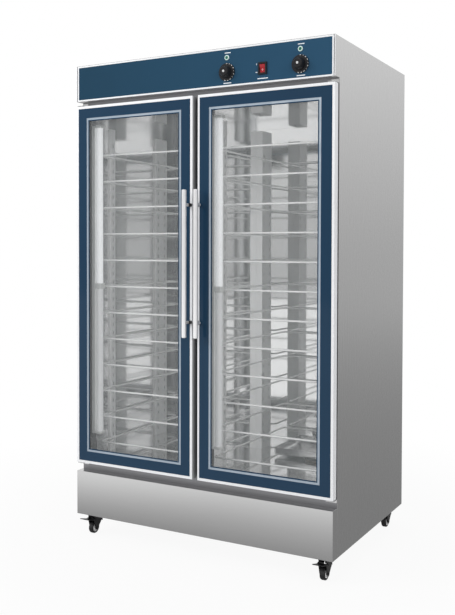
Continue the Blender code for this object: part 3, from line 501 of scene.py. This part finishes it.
def moulded(name, colour, roughness=0.4, shine=0.5):
    """Moulded plastic: a very fine texture from the mould, and slightly uneven gloss."""
    plastic = Shader(bpy.data.materials.new(name))
    speckle = plastic.noise((900.0, 900.0, 900.0), detail=2.0)
    cloud = plastic.noise((14.0, 14.0, 14.0), detail=3.0)
    plastic.finish(Base_Color=plastic.tone(colour, 0.88 + 0.12 * speckle + 0.12 * cloud),
                   Roughness=roughness - 0.06 + 0.12 * cloud, Specular_IOR_Level=shine,
                   Normal=plastic.bump(speckle, 0.00005))
    return plastic.owner


white_plastic = moulded("white_plastic", (0.80, 0.81, 0.80))
glow = Shader(bpy.data.materials.new("lamp_tube_glass"))
powder = glow.noise((40.0, 40.0, 12.0), detail=3.0)
joint_low, joint_high = 1.053, 1.077
# Painted reflection: the upper tube of each lamp is painted brighter than the lower one, on top of the
# lamps' own glow.
upper_tube_reflection = glow.axes()[2] > joint_high
glow_and_painted_reflection = (0.62 + 0.36 * upper_tube_reflection) * (0.94 + 0.08 * powder)
glow.finish(Base_Color=glow.tone((0.93, 0.94, 0.95), glow_and_painted_reflection), Roughness=0.12,
            Emission_Color=glow.tone((0.97, 0.98, 1.0), glow_and_painted_reflection), Emission_Strength=0.35)
lamp_box_low, lamp_box_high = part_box("left_chamber_lamp")
lamp_near_y, lamp_far_y = lamp_box_low[1], lamp_box_high[1]
lamp_middle_y = (lamp_near_y + lamp_far_y) / 2
lamp_low, lamp_high = lamp_box_low[2], lamp_box_high[2]
batten_depth, holder_depth, holder_length, holder_overlap = 0.020, 0.050, 0.012, 0.002
tube_depth, tube_radius, tube_seat = 0.035, 0.013, 0.006
for side_name in ("left", "right"):
    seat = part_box(side_name + "_chamber_lamp")[0][0]
    crest, nose, tube_x = seat + batten_depth, seat + holder_depth, seat + tube_depth
    batten = box("batten", (seat, lamp_near_y, lamp_low), (crest, lamp_far_y, lamp_high))
    round_edges(batten, 0.003, segments=3)
    holders = [batten]
    stops = [(lamp_low, lamp_low + holder_length), (joint_low, joint_high)]
    stops += [(lamp_high - holder_length, lamp_high)]
    for low_z, high_z in stops:
        holder = box("holder", (crest - holder_overlap, lamp_near_y, low_z), (nose, lamp_far_y, high_z))
        round_edges(holder, 0.004, segments=3)
        holders.append(holder)
    body = join(side_name + "_lamp_batten", holders)
    fit(body, "cabinet", white_plastic, "lamp_white", side_name + "_chamber_lamp")
    tubes = []
    runs = ((lamp_low + tube_seat, joint_low + tube_seat), (joint_high - tube_seat, lamp_high - tube_seat))
    for low_z, high_z in runs:
        low_end, high_end = (tube_x, lamp_middle_y, low_z), (tube_x, lamp_middle_y, high_z)
        glass = tube("tube", low_end, high_end, tube_radius)
        round_edges(glass, 0.003, segments=3)
        tubes.append(glass)
    glasses = join(side_name + "_lamp_tubes", tubes)
    fit(glasses, "cabinet", glow.owner, "lamp_white", side_name + "_chamber_lamp")

# Heater and water pan: a hairpin of black-oxidised sheathed element lies on the chamber floor,
# and the pressed stainless pan that gives the humidity stands on it.
sheath = Shader(bpy.data.materials.new("oxidised_sheath"))
tint = sheath.noise((30.0, 9.0, 30.0), detail=3.0)
sheath.finish(Base_Color=sheath.blend(tint, (0.035, 0.030, 0.028), (0.13, 0.09, 0.06)), Metallic=0.9,
              Roughness=0.35 + 0.2 * tint)
element_low, element_high = (0.28, 0.02245), (0.38, 0.38245)
element_height, element_bend, element_thickness = 0.33425, 0.0499, 0.0085
element = bent_rod("element_hairpin", element_low, element_high, element_height, element_bend,
                   element_thickness, open_side=True)
fit(element, "cabinet", sheath.owner, "black_steel", "heating_element")
pan_corner = 0.012
pan = box("pressed_pan", *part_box("water_pan"))
bpy.ops.object.mode_set(mode="EDIT")
select_faces(pan, lambda normal, middle: normal.z > 0.5)
bpy.ops.mesh.delete(type="FACE")
bpy.ops.object.mode_set(mode="OBJECT")
use(pan, "BEVEL", width=pan_corner, segments=5, limit_method="ANGLE", angle_limit=math.radians(35))
use(pan, "SOLIDIFY", thickness=sheet_thickness, offset=-1, use_even_offset=True)
round_edges(pan, 0.0003, segments=1)
fit(pan, "cabinet", level_steel, "stainless", "water_pan")

# Control panel: a flat blue-painted fascia in a pale extruded trim. Plain pale bars are printed
# above and below the controls, and two short marks beside the switch show its positions.


def pale_finish(name, colour=(0.92, 0.93, 0.95), roughness=0.34):
    """Satin powder-coated aluminium, almost white."""
    coat = Shader(bpy.data.materials.new(name))
    peel = coat.noise((420.0, 420.0, 420.0), detail=2.0)
    cloud = coat.noise((5.0, 5.0, 5.0), detail=3.0)
    coat.finish(Base_Color=coat.tone(colour, 0.96 + 0.05 * cloud), Roughness=roughness - 0.05 + 0.08 * cloud,
                Normal=coat.bump(peel, 0.00004))
    return coat.owner


pale_trim = pale_finish("pale_satin_trim")
trim_piece = copy_of("control_panel_trim", "control_panel_border")
round_edges(trim_piece, 0.0008)
fit(trim_piece, "cabinet", pale_trim, "pale_trim", "control_panel_trim")

control_z = 1.901
knob_places = {"left": 0.1435, "right": 0.4525}
switch_x = 0.2975


def rectangle(x, z, middle_x, middle_z, width, height):
    """A mask of 1 inside an upright rectangle and 0 outside."""
    return (abs(x - middle_x) < width / 2) * (abs(z - middle_z) < height / 2)


paint = Shader(bpy.data.materials.new("blue_fascia_paint"))
x, z = paint.axes()[::2]
bar_height, mark_aside = 0.0035, -0.026
knob_bars = ((0.003, 0.0735, 0.026, bar_height), (0.002, -0.0415, 0.034, bar_height))
switch_bars = ((0, -0.0375, 0.044, bar_height), (mark_aside, 0.017, 0.0020, 0.007))
switch_bars += ((mark_aside, -0.013, 0.0075, 0.0030),)
bars = 0
for knob_x in knob_places.values():
    for aside, rise, width, height in knob_bars:
        bars = bars + rectangle(x, z, knob_x + aside, control_z + rise, width, height)
for aside, rise, width, height in switch_bars:
    bars = bars + rectangle(x, z, switch_x + aside, control_z + rise, width, height)
# Painted light: the blue is painted darker at the left end of the fascia and lighter at the right.
painted_light_reach = 0.55
painted_light_sweep = paint.clamp((x + painted_light_reach) / (2 * painted_light_reach))
blue = paint.blend(painted_light_sweep, (0.0106, 0.047, 0.0865), (0.0239, 0.0785, 0.1435))
peel = paint.noise((500.0, 500.0, 500.0), detail=2.0)
cloud = paint.noise((6.0, 6.0, 6.0), detail=3.0)
mottled = paint.tone(blue, 0.94 + 0.10 * cloud)
paint.finish(Base_Color=paint.blend(paint.clamp(bars), mottled, (0.80, 0.84, 0.88)), Specular_IOR_Level=0.12,
             Roughness=0.30 + 0.12 * cloud, Normal=paint.bump(peel, 0.00002))
fascia = copy_of("control_panel", "control_fascia")
round_edges(fascia, 0.0003, segments=1)
fit(fascia, "cabinet", paint.owner, "blue_paint", "control_panel")

# Knobs: black phenolic, each moulded in one with its wide numbered skirt and pressed onto the
# thermostat's spindle. A bright cap closes its middle, and the numbers are printed in white.
black_plastic = moulded("black_phenolic", (0.008, 0.008, 0.010), roughness=0.36, shine=0.35)


def lathe(name, outline, centre, axis, steps=64):
    """One point drawn out along half an outline of (place, radius), then spun about its axis."""
    along = {"X": Vector((1, 0, 0)), "Y": Vector((0, 1, 0)), "Z": Vector((0, 0, 1))}[axis]
    aside = Vector((1, 0, 0)) if axis == "Z" else Vector((0, 0, 1))
    stops = [Vector(centre) + along * place + aside * radius for place, radius in outline]
    bpy.ops.object.select_all(action="DESELECT")
    bpy.ops.mesh.primitive_plane_add(size=0.01, location=(0, 0, 0))
    made = bpy.context.object
    made.name = name
    bpy.ops.object.mode_set(mode="EDIT")
    bpy.ops.mesh.select_mode(type="VERT")
    bpy.ops.mesh.merge(type="CENTER")
    bpy.ops.transform.translate(value=stops[0])
    for before, after in zip(stops, stops[1:]):
        bpy.ops.mesh.extrude_region_move(TRANSFORM_OT_translate={"value": after - before})
    bpy.ops.mesh.select_all(action="SELECT")
    bpy.ops.mesh.spin(steps=steps, angle=2 * math.pi, center=centre, axis=along)
    bpy.ops.mesh.select_all(action="SELECT")
    bpy.ops.mesh.remove_doubles(threshold=0.000005)
    bpy.ops.mesh.normals_make_consistent(inside=False)
    bpy.ops.object.mode_set(mode="OBJECT")
    return made


fascia_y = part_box("control_panel")[0][1]
knob_outline = ((0.016, 0), (0.016, 0.003), (-0.0005, 0.003), (-0.0005, 0.034), (-0.004, 0.034))
knob_outline += ((-0.0048, 0.0235), (-0.0075, 0.0228), (-0.0232, 0.0193), (-0.0275, 0.0165))
knob_outline += ((-0.029, 0.0147), (-0.029, 0.0052), (-0.0282, 0.0050), (-0.0282, 0))
cap_outline = ((-0.0275, 0), (-0.0275, 0.0048), (-0.0291, 0.0048), (-0.0297, 0.0040), (-0.0297, 0))
bright_cap = brushed_steel("spun_cap", "X", colour=(0.80, 0.81, 0.82), roughness=0.22)
white_print = moulded("white_print", (0.95, 0.95, 0.95), roughness=0.5)
ivory_housing = moulded("ivory_housing", (0.70, 0.66, 0.55))
numerals_round, first_angle, angle_step = 10, 88, 21
numeral_reach, numeral_depth = 0.0288, 0.0041
numeral_size, numeral_weight, ink_thickness = 0.0115, 0.00035, 0.0001
for side_name, knob_x in knob_places.items():
    centre = (knob_x, fascia_y, control_z)
    knob = lathe(side_name + "_moulded_knob", knob_outline, centre, "Y")
    round_edges(knob, 0.0006)
    fit(knob, side_name + "_dial", black_plastic, "black_plastic", side_name + "_knob")
    cap = lathe(side_name + "_knob_cap", cap_outline, centre, "Y", steps=32)
    round_edges(cap, 0.0002, segments=1)
    fit(cap, side_name + "_dial", bright_cap, "stainless")
    numerals = []
    for step in range(numerals_round):
        angle = math.radians(first_angle - step * angle_step)
        across, rise = numeral_reach * math.cos(angle), numeral_reach * math.sin(angle)
        spot = (knob_x + across, fascia_y - numeral_depth, control_z + rise)
        bpy.ops.object.select_all(action="DESELECT")
        bpy.ops.object.text_add(location=spot, rotation=(math.pi / 2, math.pi / 2 - angle, 0))
        numeral = bpy.context.object
        numeral.data.body = str(step)
        numeral.data.size = numeral_size
        numeral.data.offset = numeral_weight
        numeral.data.align_x = "CENTER"
        numeral.data.align_y = "CENTER"
        numeral.data.extrude = ink_thickness
        bpy.ops.object.convert(target="MESH")
        bpy.ops.object.transform_apply(location=True, rotation=True, scale=True)
        numerals.append(bpy.context.object)
    dial_print = join(side_name + "_dial_numbers", numerals)
    fit(dial_print, side_name + "_dial", white_print, "lamp_white")
    dress(side_name + "_thermostat", ivory_housing)

# Indicator lamps: a green lens snapped into a pale ring, one above each knob. The lens is
# ribbed inside and glows faintly, and its tail holds it behind the panel.
lens = Shader(bpy.data.materials.new("green_lens"))
ribs = lens.node("TexWave", {"bands_direction": "X"}, {"Vector": lens.position(), "Scale": 260.0})
lens.finish(Base_Color=lens.tone((0.004, 0.12, 0.075), 0.7 + 0.5 * ribs), Roughness=0.10,
            Emission_Color=lens.tone((0.02, 0.45, 0.28), 0.6 + 0.4 * ribs), Emission_Strength=0.06)
mint_ring = moulded("pale_mint_ring", (0.72, 0.90, 0.85), roughness=0.3)
lamp_rise = 0.0555
ring_outline = ((-0.0003, 0.0062), (-0.0003, 0.010), (-0.0014, 0.010), (-0.0030, 0.0086), (-0.0030, 0.0062))
ring_outline += ((-0.0003, 0.0062),)
lens_outline = ((0.012, 0), (0.012, 0.006), (-0.0026, 0.006), (-0.0036, 0.0048), (-0.0040, 0.0028))
lens_outline += ((-0.0040, 0),)
for side_name, knob_x in knob_places.items():
    centre = (knob_x, fascia_y, control_z + lamp_rise)
    ring = lathe(side_name + "_lamp_ring", ring_outline, centre, "Y", steps=40)
    round_edges(ring, 0.0003)
    fit(ring, "cabinet", mint_ring, "pale_trim", side_name + "_indicator_lamp")
    jewel = lathe(side_name + "_lamp_lens", lens_outline, centre, "Y", steps=40)
    round_edges(jewel, 0.0004)
    fit(jewel, "cabinet", lens.owner, "green_lens", side_name + "_indicator_lamp")

# Power switch: a red rocker on two moulded pins, in a black bezel that snaps into the panel.
# The rocker is clear red plastic, with a painted highlight on its lower half drawn as a pale ring.
red = Shader(bpy.data.materials.new("red_rocker_plastic"))
x, z = red.axes()[::2]
depth_of_red = red.noise((300.0, 300.0, 300.0), detail=2.0)
# Painted highlight: a pale ring is painted on the rocker's lower half.
highlight_ring_z, highlight_ring_inside, highlight_ring_outside = control_z - 0.005, 0.0015, 0.0031
off_centre = red.node("CombineXYZ", sockets={0: x - switch_x, 1: 0.0, 2: z - highlight_ring_z})
from_highlight_ring = red.node("VectorMath", {"operation": "LENGTH"}, {0: off_centre}, output="Value")
painted_highlight_ring = (from_highlight_ring > highlight_ring_inside) * (from_highlight_ring < highlight_ring_outside)
deep_red = red.tone((0.36, 0.004, 0.012), 0.85 + 0.3 * depth_of_red)
red.finish(Base_Color=red.blend(painted_highlight_ring, deep_red, (0.85, 0.55, 0.55)), Roughness=0.16 + 0.06 * depth_of_red)
bezel = copy_of("switch_bezel", "snap_in_bezel")
round_edges(bezel, 0.0006)
fit(bezel, "cabinet", black_plastic, "black_plastic", "switch_bezel")
rocker = copy_of("power_rocker", "red_rocker")
round_edges(rocker, 0.0006)
fit(rocker, "rocker", red.owner, "red_plastic", "power_rocker")

# Mains inlet: a black moulded three-pin socket, pressed into the back panel from outside.
# Its three flat pins are bright metal, in a triangle with the earth pin on top.
inlet = copy_of("cord_inlet", "three_pin_inlet")
round_edges(inlet, 0.0008)
fit(inlet, "cabinet", black_plastic, "black_plastic", "cord_inlet")
pins = []
inlet_x, inlet_z = -0.44, 1.92
pin_half_width, pin_half_height, pin_root, pin_tip = 0.002, 0.001, 0.408, 0.4205
pin_spots = ((-0.007, -0.003), (0.007, -0.003), (0, 0.004))
for across, rise in pin_spots:
    pin_x, pin_z = inlet_x + across, inlet_z + rise
    pin_low = (pin_x - pin_half_width, pin_root, pin_z - pin_half_height)
    pin_high = (pin_x + pin_half_width, pin_tip, pin_z + pin_half_height)
    pin = box("pin", pin_low, pin_high)
    round_edges(pin, 0.0004)
    pins.append(pin)
pin_set = join("inlet_pins", pins)
fit(pin_set, "cabinet", bright_cap, "stainless")

# Panel screws: bright countersunk heads along the edges of the back panel, which comes off
# for service. Each head is turned with a low crown and sits all but flush with the sheet.


def repeated(name, piece, moves):
    """A piece with copies of it, each moved by its own amount, all made one."""
    pieces = [piece]
    for move in moves:
        another = piece.copy()
        another.data = piece.data.copy()
        bpy.context.scene.collection.objects.link(another)
        another.location = move
        pieces.append(another)
    return join(name, pieces)


rear_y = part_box("back_panel")[1][1]
screw_outline = ((-0.0004, 0), (-0.0004, 0.0042), (0.0001, 0.0045), (0.0004, 0.0030), (0.0005, 0.0012))
screw_outline += ((0.0005, 0),)
upright_x, upright_start, upright_pitch = 0.574, 0.13, 0.262
level_heights, level_start, level_gap = (0.105, 1.979), -0.36, 0.24
screw_rows = [upright_start + upright_pitch * row for row in range(8)]
screw_spots = [(side * upright_x, z) for side in (-1, 1) for z in screw_rows]
screw_spots += [(level_start + level_gap * column, z) for z in level_heights for column in range(4)]
first_x, first_z = screw_spots[0]
screw = lathe("screw", screw_outline, (first_x, rear_y, first_z), "Y", steps=16)
round_edges(screw, 0.0002, segments=1)
screws = repeated("back_panel_screws", screw, [(x - first_x, 0, z - first_z) for x, z in screw_spots[1:]])
fit(screws, "cabinet", bright_cap, "stainless")

# Hinge brackets: bent 3 mm stainless plates in the reveals above and below the doors, each
# with a collar and a pivot pin that the door's end turns on. They are screwed to the frame.
for level_name in ("top", "bottom"):
    for side_name in ("left", "right"):
        node = level_name + "_" + side_name + "_hinge_bracket"
        bracket = copy_of(node, node + "_plate")
        round_edges(bracket, 0.0005)
        fit(bracket, "cabinet", level_steel, "stainless", node)

# Doors: a pale coated aluminium frame, with painted shade on the edges that meet, darker
# further back, and the right one nearly black along its meeting edge. A toughened
# front glass is printed blue round its rim, the inner glass is clear, and a black magnetic
# gasket is pushed into the back.
clear = Shader(bpy.data.materials.new("clear_inner_glass"))
smear = clear.noise((5.0, 5.0, 3.0), detail=4.0)
clear.finish(Base_Color=clear.tone((0.80, 0.85, 0.86), 0.95 + 0.08 * smear), Roughness=0.04,
             Alpha=0.04 + 0.02 * smear)
rubber = Shader(bpy.data.materials.new("gasket_rubber"))
bloom = rubber.noise((50.0, 50.0, 50.0), detail=3.0)
rubber.finish(Base_Color=rubber.tone((0.012, 0.012, 0.013), 0.7 + 0.6 * bloom),
              Roughness=0.62 + 0.15 * bloom)
rails = Shader(bpy.data.materials.new("door_rail_coat"))
x, y = rails.axes()[:2]
cloud = rails.noise((5.0, 5.0, 5.0), detail=3.0)
door_front, meeting_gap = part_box("left_door_frame")[0][1], -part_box("left_door_frame")[1][0]
edge_width, edge_setback, dark_strip_end, darkest = 0.001, 0.0012, 0.0138, 0.96
# Painted shade: the edges that meet in the gap between the doors are darkened, more so further back.
meeting_edge = (abs(x) < meeting_gap + edge_width) * (y > door_front + edge_setback)
# The right door is also made nearly black along its meeting edge.
dark_meeting_strip = darkest * (x > 0) * (x < dark_strip_end)
front_shade, shade_rise = 0.25, 9.0
painted_gap_shade = meeting_edge * (front_shade + shade_rise * (y - door_front))
shade = (painted_gap_shade + dark_meeting_strip).least(darkest)
rails.finish(Base_Color=rails.tone((0.92, 0.93, 0.95), (0.96 + 0.05 * cloud) * (1 - shade)),
             Roughness=0.29 + 0.08 * cloud)
side_trim, stripe_start, stripe_end, window_start = 0.0025, 0.0510, 0.0595, 0.0635
for side_name in ("left", "right"):
    body = side_name + "_door"
    door_frame = copy_of(side_name + "_door_frame", side_name + "_door_rails")
    round_edges(door_frame, 0.0009)
    fit(door_frame, body, rails.owner, "pale_trim", side_name + "_door_frame")
    door_low, door_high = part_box(side_name + "_door_frame")
    printed = Shader(bpy.data.materials.new(side_name + "_printed_glass"))
    x, z = printed.axes()[::2]
    from_side = (x - door_low[0]).least(door_high[0] - x)
    from_end = (z - door_low[2]).least(door_high[2] - z)
    rim = (from_side - side_trim).least(from_end)
    stripe = (rim > stripe_start) * (rim < stripe_end)
    window = rim > window_start
    blot = printed.noise((4.0, 4.0, 4.0), detail=3.0)
    ink = printed.tone((0.015, 0.046, 0.091), 0.92 + 0.12 * blot)
    inked = printed.blend(stripe, ink, (0.52, 0.62, 0.73))
    printed.finish(Base_Color=printed.blend(window, inked, (0.70, 0.74, 0.75)), Roughness=0.06 + 0.03 * blot,
                   Specular_IOR_Level=0.14, Alpha=1 - 0.45 * stripe - 0.95 * window)
    outer = copy_of(side_name + "_outer_glass", side_name + "_front_pane")
    round_edges(outer, 0.0006)
    fit(outer, body, printed.owner, "blue_glass", side_name + "_outer_glass")
    inner = copy_of(side_name + "_inner_glass", side_name + "_rear_pane")
    round_edges(inner, 0.0006)
    fit(inner, body, clear.owner, "clear_glass", side_name + "_inner_glass")
    seal = copy_of(side_name + "_door_gasket", side_name + "_magnetic_gasket")
    round_edges(seal, 0.0025, segments=4)
    fit(seal, body, rubber.owner, "gasket_rubber", side_name + "_door_gasket")

# Door handles: a bright tube with rounded ends, on two posts that lean to the door's edge.
# A black plastic spacer keeps each post off the coated frame.
handle_finish = bright_metal("bright_handle", (0.95, 0.95, 0.96), 0.18, 0.55)
handle_low, handle_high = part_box("right_door_handle")
bar_radius, post_radius, spacer_radius = 0.0095, 0.0065, 0.0071
bar_x, bar_y = handle_high[0] - bar_radius, handle_low[1] + bar_radius
post_x, seat_y = handle_low[0] + spacer_radius, handle_high[1]
spacer_length, post_heights = 0.008, (0.935, 1.397)
for side_name, side in (("left", -1), ("right", 1)):
    bar_end = (side * bar_x, bar_y, handle_high[2])
    bar = tube("bar", (side * bar_x, bar_y, handle_low[2]), bar_end, bar_radius, sides=40)
    round_edges(bar, 0.004, segments=5)
    posts = [bar]
    spacers = []
    for z in post_heights:
        foot = Vector((side * post_x, seat_y, z))
        neck = foot - Vector((0, spacer_length, 0))
        post = tube("post", neck, (side * post_x, bar_y, z), post_radius)
        for corner in post.data.vertices:
            corner.select = abs(corner.co.y - bar_y) < 0.001
        bpy.ops.object.mode_set(mode="EDIT")
        bpy.ops.mesh.select_mode(type="VERT")
        bpy.ops.transform.translate(value=(side * (bar_x - post_x), 0, 0))
        bpy.ops.object.mode_set(mode="OBJECT")
        round_edges(post, 0.0003, segments=1)
        posts.append(post)
        spacer = tube("spacer", foot, neck, spacer_radius)
        round_edges(spacer, 0.0005)
        spacers.append(spacer)
    handle = join(side_name + "_tube_handle", posts)
    fit(handle, side_name + "_door", handle_finish, "stainless", side_name + "_door_handle")
    spacer_pair = join(side_name + "_handle_spacers", spacers)
    fit(spacer_pair, side_name + "_door", black_plastic, "black_plastic", side_name + "_door_handle")

# Casters: glossy black pressed steel plates, races and forks, bolted up through the base pan,
# with black tyres on pale plastic hubs. The front two have a foot pedal that brakes the wheel.
coated_steel = moulded("black_coated_steel", (0.008, 0.008, 0.009), roughness=0.24)
tyre_rubber = Shader(bpy.data.materials.new("tyre_rubber"))
scuff = tyre_rubber.noise((90.0, 90.0, 90.0), detail=4.0)
tyre_rubber.finish(Base_Color=tyre_rubber.tone((0.016, 0.016, 0.017), 0.6 + 0.8 * scuff),
                   Roughness=0.30 + 0.25 * scuff)
hub_plastic = moulded("pale_hub_plastic", (0.97, 0.97, 0.97), roughness=0.25)
tyre_outline = ((-0.011, 0.0175), (-0.011, 0.0205), (-0.0095, 0.0236), (-0.0065, 0.025), (0.0065, 0.025))
tyre_outline += ((0.0095, 0.0236), (0.011, 0.0205), (0.011, 0.0175), (-0.011, 0.0175))
hub_outline = ((-0.0095, 0.0045), (-0.0095, 0.0115), (-0.0075, 0.0125), (-0.0075, 0.0155), (-0.0098, 0.0168))
hub_outline += ((-0.0098, 0.0174), (0.0098, 0.0174), (0.0098, 0.0168), (0.0075, 0.0155), (0.0075, 0.0125))
hub_outline += ((0.0095, 0.0115), (0.0095, 0.0045), (-0.0095, 0.0045))
plate_thickness, bolt_reach, bolt_radius, bolt_height = 0.003, 0.020, 0.0045, 0.003
web_half_width, web_front, web_back, web_foot, web_headroom = 0.0150, 0.012, 0.0105, 0.046, 0.001
for name in ("front_left", "front_right", "rear_left", "rear_right"):
    plate_low, plate_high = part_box(name + "_caster_plate")
    plate = copy_of(name + "_caster_plate", name + "_plate")
    round_edges(plate, 0.0006)
    fit(plate, "cabinet", coated_steel, "black_steel", name + "_caster_plate")
    middle_x, middle_y = (plate_low[0] + plate_high[0]) / 2, (plate_low[1] + plate_high[1]) / 2
    under_plate = plate_high[2] - plate_thickness
    corner_x, corner_y = middle_x - bolt_reach, middle_y - bolt_reach
    bolt_seat = (corner_x, corner_y, under_plate)
    bolt_end = (corner_x, corner_y, under_plate - bolt_height)
    bolt = tube("bolt", bolt_end, bolt_seat, bolt_radius, sides=6)
    round_edges(bolt, 0.0004)
    spacing = 2 * bolt_reach
    moves = ((spacing, 0, 0), (0, spacing, 0), (spacing, spacing, 0))
    bolts = repeated(name + "_plate_bolts", bolt, moves)
    fit(bolts, "cabinet", bright_cap, "stainless")
    fork = copy_of(name + "_fork", name + "_pressed_fork")
    round_edges(fork, 0.0007)
    fit(fork, name + "_swivel", coated_steel, "black_steel", name + "_fork")
    fork_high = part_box(name + "_fork")[1]
    web_near = (middle_x - web_half_width, fork_high[1] - web_front, web_foot)
    web_far = (middle_x + web_half_width, fork_high[1] - web_back, fork_high[2] - web_headroom)
    web = box(name + "_fork_web", web_near, web_far)
    round_edges(web, 0.0005)
    fit(web, name + "_swivel", coated_steel, "black_steel")
    wheel_low, wheel_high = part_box(name + "_wheel")
    centre = [(low + high) / 2 for low, high in zip(wheel_low, wheel_high)]
    tyre = lathe(name + "_tyre", tyre_outline, centre, "X", steps=48)
    round_edges(tyre, 0.0008)
    fit(tyre, name + "_roller", tyre_rubber.owner, "wheel_rubber", name + "_wheel")
    hub = lathe(name + "_hub", hub_outline, centre, "X", steps=48)
    round_edges(hub, 0.0003, segments=1)
    fit(hub, name + "_roller", hub_plastic, "ivory_plastic", name + "_wheel")
    if name.startswith("front"):
        pedal = copy_of(name + "_pedal", name + "_brake_pedal")
        round_edges(pedal, 0.0007)
        fit(pedal, name + "_brake", coated_steel, "black_steel", name + "_pedal")
